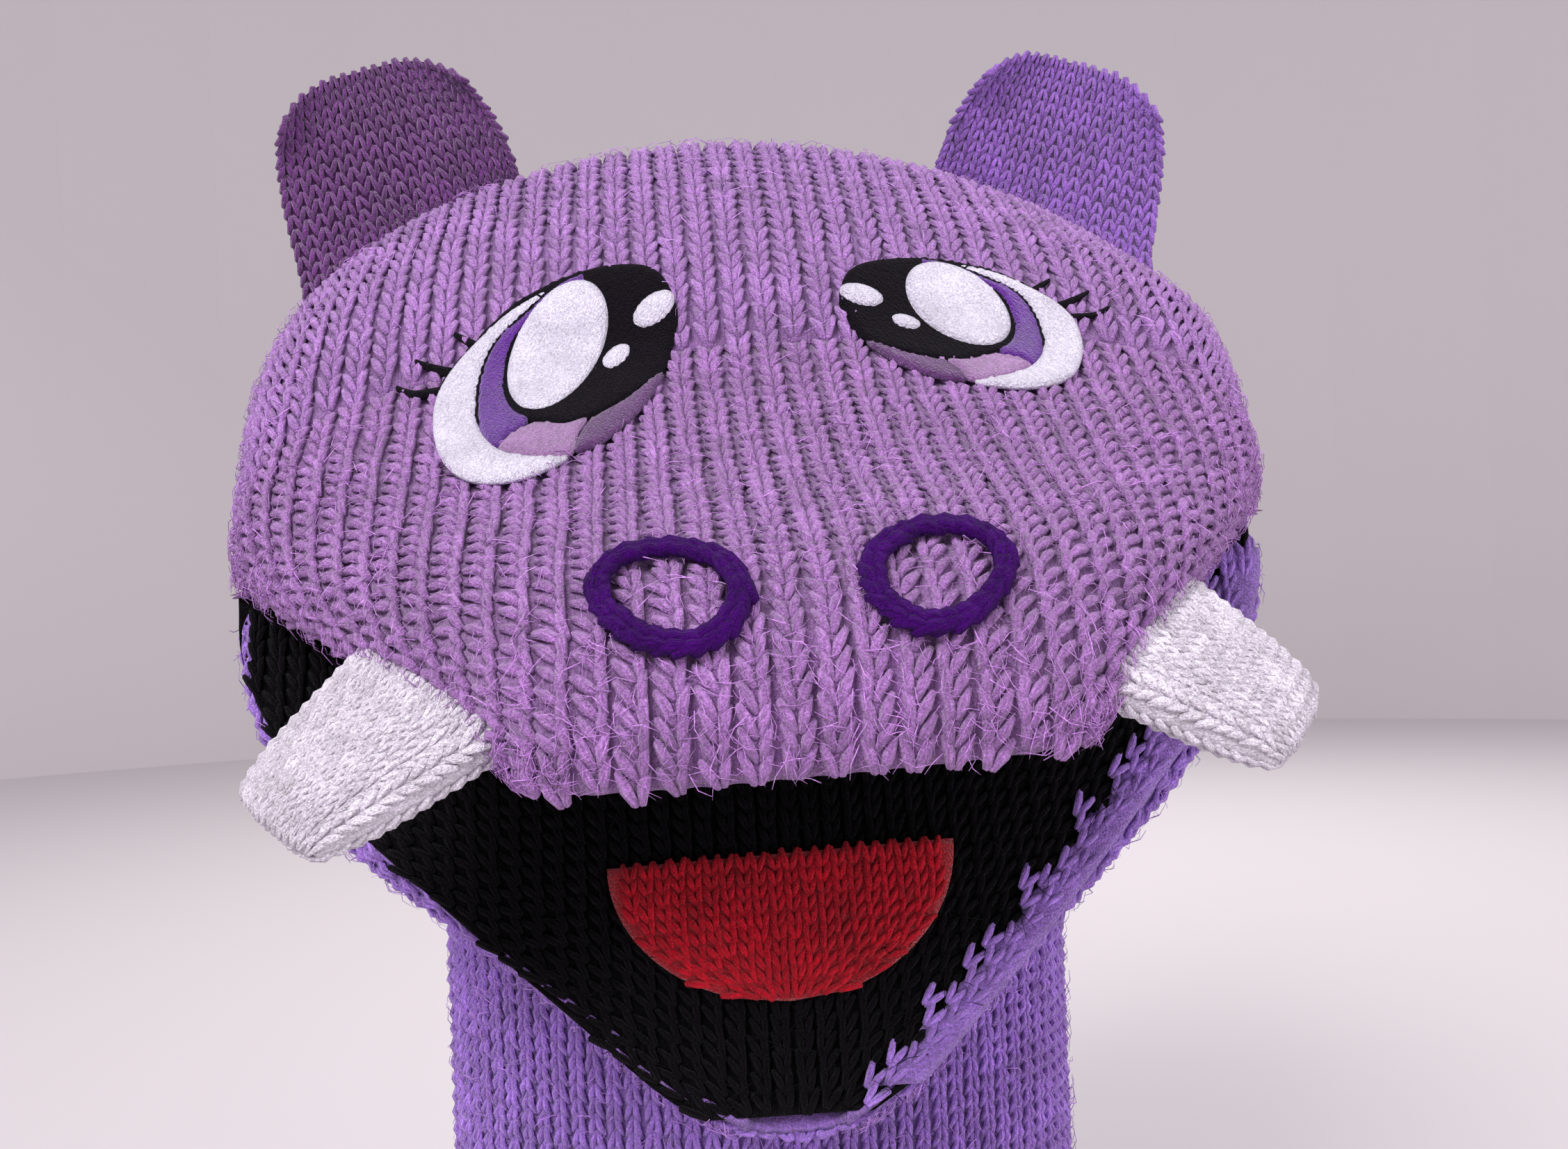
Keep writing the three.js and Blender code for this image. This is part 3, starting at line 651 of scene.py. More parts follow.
def constant(value):
    return lambda v: np.full(np.shape(v), float(value))


def sheet_of(piece, with_pieces=()):
    list(with_pieces)


def ribbed(
    label, surface, pitch, row, radius, colour, seed, slot="head_knit", replaced=(), hairs=0
):
    """A ribbed piece of fabric: its backing and its stitches."""
    # Painted shade: the backing is the yarn darkened to 0.9, for the shade in the gaps between the stitches.
    ground = yarn(label + "_ground", shade(colour, 0.9), depth=0.5, heather=0.3, bump=0.0005)
    top = yarn(label + "_yarn", colour)
    skin = ribbed_skin(label + "_fabric", surface, pitch, ground)
    u, v = rib_places(surface, pitch, row)
    nominal = float(pitch(np.array([1.0]))[0])
    shape = stitch_shape(nominal, row, radius)
    made = stitches(label + "_stitches", surface, u, v, shape, top, seed, wide=pitch(v) / nominal, lift=-0.35)
    pieces = [skin, made]
    if hairs:
        pieces.append(fibres(label, surface, hairs, yarn(label + "_fibre", shade(colour, 1.25)), seed + 200))
    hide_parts(*replaced)
    return pieces


# ---------------------------------------------------------------- flat plates, ears and teeth
def plate(run, half, start, end, face=1, lift=0.0, left_extra=0.0):
    """A flat plate on a jaw, between two distances from the fold, facing into the mouth."""
    normal = np.cross([1, 0, 0], run) * face

    def surface(u, v):
        u, v = np.broadcast_arrays(np.asarray(u, float), np.asarray(v, float))
        distance = start + (end - start) * v
        point = PIVOT + distance[..., None] * run + lift * normal
        x = face * u
        point[..., 0] = x * (half(distance) + left_extra * (x < 0))
        return point

    return surface


def ear_rise(sign):
    return np.array([sign * math.sin(EAR_LEAN), 0, math.cos(EAR_LEAN)])


def ear_surface(sign, face):
    """One side of an ear: face 1 looks forward and -1 back."""
    across = np.array([sign * math.cos(EAR_LEAN), 0, -math.sin(EAR_LEAN)])
    rise = ear_rise(sign)

    def foot(share):
        share = np.asarray(share, float)
        along = EAR_FOOT[0] + (EAR_FOOT[1] - EAR_FOOT[0]) * share
        point, _, _, normal = frames(crown, -sign * along, EAR_PLACE)
        return point + normal * 1.2

    middle = foot(0.5)

    def surface(u, v):
        u, v = np.broadcast_arrays(np.asarray(u, float), np.asarray(v, float))
        x = u * sign * face / 2
        flap = middle + across * (x * EAR_WIDTH * (1 - 0.24 * v**3))[..., None]
        flap = flap + rise * (v * EAR_HEIGHT * (1 - 0.26 * np.abs(2 * x) ** 3))[..., None]
        share = (1 - (1 - v) ** 3)[..., None]
        point = foot(x + 0.5) * (1 - share) + flap * share
        thickness = 1.6 * face * (1 - 0.75 * np.abs(u) ** 5) * (1 - 0.7 * v**8)
        point[..., 1] += -EAR_CUP * (2 * x) ** 2 * v - 2.6 * v**6 - thickness
        return point

    return surface


def tooth_root(sign):
    return on_jaw(UPPER_RUN, TOOTH_MIDDLE, sign * upper_half(TOOTH_MIDDLE)) - UPPER_DOWN * 4


def tooth_surface(sign, face):
    """One side of a stuffed tooth: face 1 is the upper side."""
    base = UPPER_RUN - [sign * JAW_SLOPE, 0, 0]
    base = base / np.linalg.norm(base)
    level = np.cross(base, UPPER_DOWN)
    level = level / np.linalg.norm(level)
    level = level * (1 if level[0] * sign > 0 else -1)
    out = level * math.cos(TOOTH_DROP) + UPPER_DOWN * math.sin(TOOTH_DROP)
    up = level * math.sin(TOOTH_DROP) - UPPER_DOWN * math.cos(TOOTH_DROP)
    root = tooth_root(sign)

    def surface(u, v):
        u, v = np.broadcast_arrays(np.asarray(u, float), np.asarray(v, float))
        x = u * sign * face / 2
        reach = -1.2 + TOOTH_REACH * v
        share = np.clip((reach - 2.5) / 26, 0, 1)
        width = TOOTH_ROOT + (TOOTH_TIP - TOOTH_ROOT) * share
        end = np.clip(1 - share**5, 0, 1) ** 0.6
        side = np.clip(1 - np.abs(u) ** 4, 0, 1) ** 0.6
        half = 0.5 + 4.4 * side * end
        length = reach - 1.5 * share**3 * np.abs(u) ** 3
        point = root + base * (x * width - 4 * share)[..., None] + out * length[..., None]
        return point + up * (face * half)[..., None]

    return surface


def even_places(columns, rows, edge=0.0):
    """(u, v) of evenly spread stitches on a small plain knit piece."""
    u = (np.arange(columns) + 0.5) / columns * 2 - 1
    v = (np.arange(rows) + 0.5) / rows
    grid_u, grid_v = np.meshgrid(u * (1 - edge), v * (1 - edge) + edge / 2)
    return grid_u.ravel(), grid_v.ravel()


def two_sided(name, front, back, material, columns=40, rows=32):
    """A closed form between two sides whose u run opposite ways."""
    u, v = np.linspace(-1, 1, columns + 1), np.linspace(0, 1, rows + 1)
    outer = front(u[None], v[:, None])
    inner = back(-u[None], v[:, None])
    points, faces = closed_sheet(outer, inner)
    return make_mesh(name, points, faces, material)


def plain_knit(name, surface, columns, rows, pitch, row, material, seed, radius=0.62, lift=0.15):
    """Plain knit stitches spread over one side of a small piece."""
    u, v = even_places(columns, rows)
    step = 1 / columns
    size = np.linalg.norm(surface(u + step, v) - surface(u - step, v), axis=1)
    shape = stitch_shape(pitch, row, radius, spread=0.3, overlap=0.72, rise=0.25)
    return stitches(name, surface, u, v, shape, material, seed, wide=size / pitch, lift=lift, jitter=0.05)


def join(name, parts):
    """Joins mesh objects into one piece."""
    bpy.ops.object.select_all(action="DESELECT")
    for part in parts:
        part.select_set(True)
    bpy.context.view_layer.objects.active = parts[0]
    bpy.ops.object.join()
    parts[0].name = name
    parts[0].data.name = name
    return parts[0]


# ---------------------------------------------------------------- embroidery
DARK_FIELD = [
    (-22, -1), (-19, 4), (-14.4, 8.5), (-8.5, 13), (-1.5, 16.2), (6.6, 18.4), (12, 18.8), (17, 18.2),
    (20, 16.2), (22.4, 9.6), (21, 3.3), (18.4, -1.8), (12, -5.5), (6.6, -8), (1, -9.2), (-6.3, -8),
    (-14, -9), (-19, -6),
]
SCLERA = [
    (-1.8, 14.7), (-8.5, 12), (-14.4, 7.7), (-19, 3.3), (-21.7, -1), (-22.4, -5.5), (-21.3, -10.7),
    (-18.4, -15), (-14.4, -17.3), (-9.2, -18), (-4, -17.3), (1.5, -15), (-3.3, -14.6), (-10.3, -12.7),
    (-14, -8.5), (-14.7, -4), (-14.4, 0), (-13.2, 4), (-10.7, 7.7), (-6.3, 11),
]
IRIS = [
    (7.7, 17), (3.3, 15), (-1.5, 13), (-4.8, 10.3), (-7.7, 7.4), (-9.2, 4.4), (-9.9, 0), (-9.6, -3.3),
    (-8, -6), (-5.5, -8), (-9.2, -10.7), (-10.7, -12.3), (-12.5, -11.4), (-14, -8.5), (-14.7, -4),
    (-14.4, 0), (-13.2, 4), (-10.7, 7.7), (-6.3, 11), (-1.8, 14.4), (3, 16.8),
]
LID = [
    (-10.3, -12.5), (-4.8, -8.8), (1, -9.4), (4.8, -8.8), (3.3, -11.4), (2.8, -13.8), (0.4, -15),
    (-6.3, -14.4),
]
PLUM = [
    (2.8, -14), (4.8, -9.6), (12, -5.7), (18.8, -1.5), (15, -7), (10.3, -11), (6.3, -13.4),
]
LASHES = [
    ((-21, -1), (-26.5, -0.9), (-29.8, 0.6)), ((-20, 2.2), (-23.9, 3.7), (-26.5, 5)),
    ((-15.2, 6.4), (-17.7, 8), (-19.3, 9)),
]


def oval_outline(middle, long, short, lean, count=16):
    """Points of a tilted oval."""
    a = np.linspace(0, 2 * math.pi, count, endpoint=False)
    turn = math.radians(lean)
    x, y = long / 2 * np.cos(a), short / 2 * np.sin(a)
    turned = [x * math.cos(turn) - y * math.sin(turn), x * math.sin(turn) + y * math.cos(turn)]
    return np.stack([middle[0] + turned[0], middle[1] + turned[1]], 1)


def stroke_outline(points, width, taper=0.3):
    """Outline of a line of thread that narrows to its end."""
    line = spline(points, np.linspace(0, 1, 10))
    heading = np.gradient(line, axis=0)
    heading /= np.linalg.norm(heading, axis=1, keepdims=True)
    side = np.stack([-heading[:, 1], heading[:, 0]], 1) * (np.linspace(1, taper, 10) * width / 2)[:, None]
    return np.vstack([line + side, (line - side)[::-1]])


def inside_outline(points, outline):
    """Which points lie inside a closed outline."""
    x, y = points[:, 0][:, None], points[:, 1][:, None]
    a, b = outline, np.roll(outline, -1, axis=0)
    crosses = (a[:, 1] > y) != (b[:, 1] > y)
    at = (b[:, 0] - a[:, 0]) * (y - a[:, 1]) / np.where(b[:, 1] == a[:, 1], 1e-9, b[:, 1] - a[:, 1]) + a[:, 0]
    return np.sum(crosses & (x < at), axis=1) % 2 == 1


def find_on(surface, x, z, start):
    """(u, v) of the points of a surface that show at x and z from the front."""
    u, v = np.full(len(x), start[0]), np.full(len(x), start[1])
    step = 1e-3
    for _ in range(14):
        at = surface(u, v)[:, [0, 2]]
        du = (surface(u + step, v)[:, [0, 2]] - at) / step
        dv = (surface(u, np.clip(v + step, 0, 1))[:, [0, 2]] - at) / step
        wrong = np.stack([x, z], 1) - at
        scale = du[:, 0] * dv[:, 1] - du[:, 1] * dv[:, 0]
        scale = np.where(np.abs(scale) < 1e-6, 1e-6, scale)
        more_u = (wrong[:, 0] * dv[:, 1] - wrong[:, 1] * dv[:, 0]) / scale
        more_v = (du[:, 0] * wrong[:, 1] - du[:, 1] * wrong[:, 0]) / scale
        u = np.clip(u + np.clip(more_u, -0.1, 0.1), -0.98, 0.98)
        v = np.clip(v + np.clip(more_v, -0.1, 0.1), 0.02, 0.998)
    return u, v


def patch(outline, place, bottom, top, thread=1.2, lean=60, fine=0.75):
    """A raised patch of thread laid on the head: points, faces and marks for the stitch direction."""
    smooth = ring_spline(outline, max(40, int(len(outline) * 5)))
    low, high = smooth.min(0), smooth.max(0)
    grid = np.meshgrid(np.arange(low[0], high[0], fine), np.arange(low[1], high[1], fine))
    grid = np.stack(grid, -1).reshape(-1, 2)
    grid = grid[inside_outline(grid, smooth)]
    near = np.min(np.linalg.norm(grid[:, None] - smooth[None], axis=2), axis=1) if len(grid) else np.zeros(0)
    grid = grid[near > fine * 0.6]
    flat = [Vector(p) for p in np.vstack([smooth, grid]).tolist()]
    count = len(smooth)
    verts, _, faces, *_ = delaunay_2d_cdt(flat, [], [list(range(count))], 1, 1e-5)
    plane = np.array([tuple(p) for p in verts])
    rim = np.min(np.linalg.norm(plane[:, None] - smooth[None], axis=2), axis=1)
    turn = math.radians(lean)
    along = plane[:, 0] * math.cos(turn) + plane[:, 1] * math.sin(turn)
    over = -plane[:, 0] * math.sin(turn) + plane[:, 1] * math.cos(turn)
    ridge = 0.16 * np.abs(np.sin(math.pi * over / thread))
    height = bottom + (top - bottom) * (0.55 + 0.45 * np.clip(rim / 1.3, 0, 1) ** 0.5)
    height = height + ridge * np.clip(rim, 0, 1)
    point, normal = place(plane)
    upper = point + normal * height[:, None]
    lower = point + normal * bottom
    total = len(plane)
    faces = [tuple(f) for f in faces]
    used = {}
    for f in faces:
        for a, b in zip(f, f[1:] + f[:1]):
            used[(a, b)] = used.get((a, b), 0) + 1
    edges = [e for e in used if (e[1], e[0]) not in used]
    every = list(faces) + [tuple(i + total for i in reversed(f)) for f in faces]
    every += [(b, a, a + total, b + total) for a, b in edges]
    marks = np.stack([along, over, height], 1)
    return np.vstack([upper, lower]), every, np.vstack([marks, marks])


def merged(name, parts, material):
    """One object from several (points, faces, marks)."""
    points, faces, marks = [], [], []
    for p, f, m in parts:
        shift = sum(len(q) for q in points)
        faces += [tuple(i + shift for i in face) for face in f]
        points.append(p)
        marks.append(m)
    made = make_mesh(name, np.vstack(points), faces, material, np.vstack(marks))
    bpy.ops.object.select_all(action="DESELECT")
    made.select_set(True)
    bpy.context.view_layer.objects.active = made
    bpy.ops.object.mode_set(mode="EDIT")
    bpy.ops.mesh.select_all(action="SELECT")
    bpy.ops.mesh.normals_make_consistent(inside=False)
    bpy.ops.object.mode_set(mode="OBJECT")
    return made


# ---------------------------------------------------------------- sizes and colours a user can change
def colour_property(name, value, text):
    return FloatVectorProperty(
        name=name, description=text, default=value, size=3, min=0, max=1, subtype="COLOR"
    )


def length_property(name, value, text):
    return FloatProperty(name=name, description=text, default=value, min=0.1, max=500.0, unit="NONE")


class PuppetSettings(bpy.types.PropertyGroup):
    head_pitch: length_property("Head rib", 5.5, "Width of a rib on the head, in millimetres")
    head_row: length_property("Head row", 3.4, "Height of a row on the head, in millimetres")
    sleeve_pitch: length_property("Sleeve rib", 3.75, "Width of a rib on the sleeve, in millimetres")
    sleeve_row: length_property("Sleeve row", 3.0, "Height of a row on the sleeve, in millimetres")
    yarn_radius: length_property("Yarn", 0.95, "Half the thickness of the head's yarn, in millimetres")
    crown_colour: colour_property("Crown", (0.70, 0.49, 0.79), "Yarn of the crown")
    muzzle_colour: colour_property("Muzzle", (0.67, 0.455, 0.745), "Yarn of the snout")
    sleeve_colour: colour_property("Sleeve", (0.675, 0.48, 0.89), "Yarn of the sleeve and chin")
    mouth_colour: colour_property("Mouth", (0.035, 0.022, 0.045), "Yarn of the mouth's lining")
    tongue_colour: colour_property("Tongue", (0.80, 0.0, 0.14), "Yarn of the tongue")
    tooth_colour: colour_property("Teeth", (0.93, 0.89, 0.95), "Yarn of the teeth")
    # Painted shade: the left ear's yarn is set darker than the right ear's, for the shadow on its front face.
    ear_left_shaded_colour: colour_property("Left ear", (0.42, 0.19, 0.48), "Yarn of the left ear")
    ear_right_colour: colour_property("Right ear", (0.59, 0.38, 0.77), "Yarn of the right ear")
    nostril_colour: colour_property("Nostrils", (0.24, 0.0, 0.39), "Yarn of the nostrils")
    camera_lens: FloatProperty(
        name="Lens", description="Focal length", default=38.0, min=10, max=200, unit="CAMERA"
    )
    seed: IntProperty(name="Seed", description="Start of the random draws", default=7, min=0)


class BuildPiece(bpy.types.Operator):
    """Base of the operators that build the puppet"""

    bl_options = {"REGISTER", "UNDO"}

    def execute(self, context):
        bpy.ops.object.select_all(action="DESELECT")
        self.build(settings())
        return {"FINISHED"}


def draw_in(start, low, high):
    """Rib pitch that widens from the sleeve to the head."""
    first, last = start
    return lambda v: low + (high - low) * np.clip((np.asarray(v, float) - first) / (last - first), 0, 1)


class PUPPET_OT_sleeve(BuildPiece):
    """Knit the sleeve with its hem band and side seams"""

    bl_idname = "puppet.sleeve"
    bl_label = "Sleeve"

    def build(self, s):
        for face, surface, seed in (("back", sleeve_back, 11), ("front", sleeve_front, 12)):
            skin, *made = fine_rib(s, "sleeve_" + face, surface, s.sleeve_colour, seed,
                                  replaced=["sleeve_" + face + "_knit"], hairs=1200)
            follow((skin, *made), *NECK_BEND)
            flat = 2 * 1.0 * section_lengths(surface, np.array([0.0]))[1][0, -1] * MM
            sheet_of(skin, made)
        hem(s)
        for side, sign in SIDES:
            seam(s, side, sign)


def hem(s):
    """The doubled band round the sleeve's end, its cast-on edge at the bottom."""
    inner = [(-2.2, 1), (-3.0, 9), (-2.2, 17.2), (-0.9, 18.2)]
    rings = inner + [(0.25, 17.4), (0.8, 9), (0.5, 1.6), (-0.6, 0.0)]
    around = 240
    turn = np.linspace(0, 2 * math.pi, around, endpoint=False)
    ribs = 0.45 * np.cos(turn * around / 3.0)
    out = np.stack([np.cos(turn) / SLEEVE_HALF, np.sin(turn) / SLEEVE_REACH], 1)
    out /= np.linalg.norm(out, axis=1, keepdims=True)
    points = []
    for raise_by, height in rings:
        swell = raise_by + ribs * (raise_by > -0.95)
        x = SLEEVE_HALF * np.cos(turn) + out[:, 0] * swell
        y = SLEEVE_REACH * np.sin(turn) + out[:, 1] * swell
        points.append(np.stack([x, y, np.full(around, float(height))], 1))
    count = len(rings)
    faces = []
    for r in range(count):
        a = np.arange(around) + r * around
        b = np.arange(around) + ((r + 1) % count) * around
        faces += np.stack([a, b, np.roll(b, -1), np.roll(a, -1)], -1).tolist()
    marks = np.vstack([np.stack([np.full(around, float(h)), turn * 50, 0 * turn], 1) for _, h in rings])
    # Painted shade: the band under the hem's stitches is the sleeve's yarn darkened to 0.7.
    ground = yarn("hem_ground", shade(s.sleeve_colour, 0.7), depth=0.5)
    band = merged("hem_band_fabric", [(np.vstack(points), faces, marks)], ground)
    edge = []
    for face, mirror in ((1, -1), (-1, 1)):
        ring = Surface([level_station(face, 0.0), level_station(face, HEM_TOP)], mirror)
        u, v = rib_places(ring, constant(s.sleeve_pitch), s.sleeve_row, edge=0.1)
        edge.append(stitches("hem_stitches_part", ring, u, v, fine_stitch(s),
                             yarn("sleeve_front_yarn", s.sleeve_colour), 20 + face, lift=0.45))
    made = join("hem_stitches", edge)
    for piece in (band, made):
        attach(piece, "sleeve")
    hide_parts("hem_band")
    sheet_of(band, [made])


def seam(s, side, sign):
    """A line of chain stitches where the sleeve's halves are sewn together."""

    def surface(u, v):
        u, v = np.broadcast_arrays(np.asarray(u, float), np.asarray(v, float))
        height = HEM_TOP + (NECK_JOIN - HEM_TOP) * v
        return np.stack([sign * (SLEEVE_HALF + 0.0 * u), u * 2.1 * sign, height], -1)

    rows = int((NECK_JOIN - HEM_TOP) / 3.4)
    v = (np.arange(rows) + 0.5) / rows
    thread = yarn("seam_yarn", shade(s.sleeve_colour, 0.9))
    chain = stitch_shape(4.2, 3.4, 0.9)
    name = "side_seam_" + side + "_stitches"
    made = stitches(name, surface, np.zeros(rows), v, chain, thread, 30 + sign, lift=0.1)
    follow([made], *NECK_BEND)
    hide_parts("side_seam_" + side)


def neck_seam(s, side, sign):
    """A line of chain stitches where the throat is sewn to the crown."""
    shares = np.linspace(0, 1, 120)

    def edge_of(panel):
        u = 1.0 if panel(np.array(1.0), np.array(0.5))[0] * sign > 0 else -1.0
        return panel(np.full(len(shares), u), shares)

    front, back = edge_of(throat), edge_of(nape)
    nearest = np.argmin(np.linalg.norm(front[:, None] - back[None], axis=2), axis=1)
    line = (front + back[nearest]) / 2
    for _ in range(6):
        line[1:-1] = (line[:-2] + 2 * line[1:-1] + line[2:]) / 4
    length = np.concatenate([[0], np.cumsum(np.linalg.norm(np.diff(line, axis=0), axis=1))])
    run = np.gradient(line, axis=0)
    run /= np.linalg.norm(run, axis=1, keepdims=True)
    across = np.cross(run, [sign, 0, 0])
    across /= np.linalg.norm(across, axis=1, keepdims=True)

    def surface(u, v):
        u, v = np.broadcast_arrays(np.asarray(u, float), np.asarray(v, float))
        at, side_way = (np.stack([np.interp(v * length[-1], length, values[:, k]) for k in range(3)], -1)
                        for values in (line, across))
        return at + side_way * u[..., None] * 2.1

    rows = int(length[-1] / 3.0)
    v = (np.arange(rows) + 0.5) / rows
    thread = yarn("seam_yarn", shade(s.sleeve_colour, 0.9))
    chain = stitch_shape(5.4, 3.4, 1.15)
    name = "neck_seam_" + side + "_stitches"
    made = stitches(name, surface, np.zeros(rows), v, chain, thread, 33 + sign, lift=-0.2)
    return made


class PUPPET_OT_head(BuildPiece):
    """Knit the nape, crown and throat, which cover the neck too"""

    bl_idname = "puppet.head"
    bl_label = "Head"

    def build(self, s):
        widening = draw_in((0.1, 0.45), s.sleeve_pitch, s.head_pitch)
        skin, *made = ribbed("crown", nape, widening, s.head_row, s.yarn_radius, s.crown_colour, 41,
                            replaced=["crown_knit", "neck_back_knit"], hairs=5000)
        follow((skin, *made), *NOD_BEND)
        sheet_of(skin, made)
        covered = ["throat_knit", "neck_front_knit"]
        skin, *made = fine_rib(s, "throat", throat, s.sleeve_colour, 42, replaced=covered)
        made += [neck_seam(s, side, sign) for side, sign in SIDES]
        follow((skin, *made), *NOD_BEND)
        sheet_of(skin, made)


class PUPPET_OT_upper_jaw(BuildPiece):
    """Knit the snout with its palate"""

    bl_idname = "puppet.upper_jaw"
    bl_label = "Upper jaw"

    def build(self, s):
        pitch = constant(s.head_pitch)
        skin, *made = ribbed("muzzle", snout, pitch, s.head_row, s.yarn_radius, s.muzzle_colour, 51,
                             slot="muzzle_knit", replaced=["muzzle_knit"], hairs=4200)
        follow((skin, *made), *UPPER_BEND)
        sheet_of(skin, made)
        roof = plate(UPPER_RUN, lambda d: upper_half(d) - 1.6, 0.5, 0.965 * UPPER_LENGTH)
        skin, *made = fine_rib(s, "palate", roof, s.mouth_colour, 52, slot="mouth_lining",
                               replaced=["palate_lining"], hairs=300)
        follow((skin, *made), *UPPER_BEND)
        sheet_of(skin, made)


class PUPPET_OT_lower_jaw(BuildPiece):
    """Knit the chin with the mouth's lining, its turned edge and the tongue"""

    bl_idname = "puppet.lower_jaw"
    bl_label = "Lower jaw"

    def build(self, s):
        skin, *made = fine_rib(s, "chin", chin, s.sleeve_colour, 61, replaced=["chin_knit"], hairs=1000)
        follow((skin, *made), *LOWER_BEND)
        sheet_of(skin, made)
        # Painted shade: the lining's backing is its black yarn darkened to 0.7, for the gaps between the
        # stitches.
        ground = yarn("mouth_ground", shade(s.mouth_colour, 0.7), depth=0.5, heather=0.3)
        floor = plate(LOWER_RUN, lambda d: lower_half(d) - 1.2, 0.5, 0.965 * LOWER_LENGTH, face=-1, lift=0.5,
                      left_extra=2.2)
        pitch = constant(s.sleeve_pitch)
        lining = ribbed_skin("mouth_fabric", floor, pitch, ground)
        u, v = rib_places(floor, pitch, s.sleeve_row, edge=0.2)
        at = floor(u, v)
        distance = 0.5 + (0.965 * LOWER_LENGTH - 0.5) * v
        from_edge = lower_half(distance) - at[:, 0]
        column = np.round(at[:, 0] / s.sleeve_pitch - 0.5)
        width = 9.6 + 2.2 * np.sin(column * 2.4)
        turned = (from_edge < width) & (distance > 6)
        inner = distance > 4
        under = (np.abs(at[:, 0]) < 29) & (distance > 59) & (distance < 80)
        under &= (at[:, 0] / 30) ** 2 + ((distance - 57) / 25) ** 2 < 0.92
        shape = fine_stitch(s)
        black = yarn("mouth_yarn", s.mouth_colour, depth=0.6, heather=0.35)
        plain = ~turned & ~under & inner
        dark = stitches("mouth_stitches", floor, u[plain], v[plain], shape, black, 62, lift=-0.35)
        purple = yarn("chin_yarn", s.sleeve_colour)
        edge = stitches("chin_turned_stitches", floor, u[turned], v[turned], shape, purple, 63, lift=0.45)
        turned_skin = self.turned_edge(s)
        loose = fibres("mouth", floor, 500, black, 264, lift=0.6, reach=1.6)
        follow((lining, dark, edge, turned_skin, loose), *LOWER_BEND)
        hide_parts("lower_mouth_lining")
        sheet_of(lining, [dark, edge, loose])
        sheet_of(turned_skin)
        self.tongue(s)

    def turned_edge(self, s):
        """The strip of the chin's fabric that is turned over the right edge of the lining."""
        u, v = np.linspace(0, 1, 9), np.linspace(0.07, 0.93, 70)
        distance = np.broadcast_to(v[:, None] * LOWER_LENGTH, (70, 9))
        across = lower_half(distance) + 0.9 - u[None] * (8.6 + 0.8 * np.sin(distance * 0.95))
        base = PIVOT + distance[..., None] * LOWER_RUN
        base[..., 0] = across
        lift = (1.0 - 1.3 * u[None] ** 6 - 1.2 * (1 - u[None]) ** 8)[..., None]
        outer = base - LOWER_BACK * lift
        points, faces = closed_sheet(outer[:, ::-1], (base + LOWER_BACK * 0.5)[:, ::-1])
        # Painted shade: the turned strip under its stitches is the chin's yarn darkened to 0.8.
        ground = yarn("chin_ground", shade(s.sleeve_colour, 0.8))
        return merged("chin_turned_fabric", [(points, faces, points)], ground)

    def tongue(self, s):
        def half(d):
            share = np.clip(d - TONGUE_TOP, 0, TONGUE_LENGTH) / TONGUE_LENGTH
            return 30 * np.sqrt(np.clip(1 - share**2, 0, 1)) + 0.4

        red = yarn("tongue_yarn", s.tongue_colour, depth=0.5, sheen=0.08)
        top = plate(LOWER_RUN, half, TONGUE_TOP, TONGUE_TOP + TONGUE_LENGTH, face=-1, lift=1.9)
        bottom = plate(LOWER_RUN, half, TONGUE_TOP, TONGUE_TOP + TONGUE_LENGTH, face=-1, lift=0.2)
        # Painted shade: the tongue's body under its stitches is the red yarn darkened to 0.85.
        tongue = two_sided("tongue_fabric", top, lambda u, v: bottom(-u, v),
                           yarn("tongue_ground", shade(s.tongue_colour, 0.85)), 30, 24)
        pitch, row = 2.8, 2.4
        u, v = rib_places(top, constant(pitch), row, edge=0.35)
        shape = stitch_shape(pitch, row, 0.68, spread=0.3, overlap=0.72, rise=0.25)
        made = stitches("tongue_stitches", top, u, v, shape, red, 64, lift=0.1)
        follow((tongue, made), *LOWER_BEND)
        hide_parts("tongue_knit")
        sheet_of(tongue, [made])


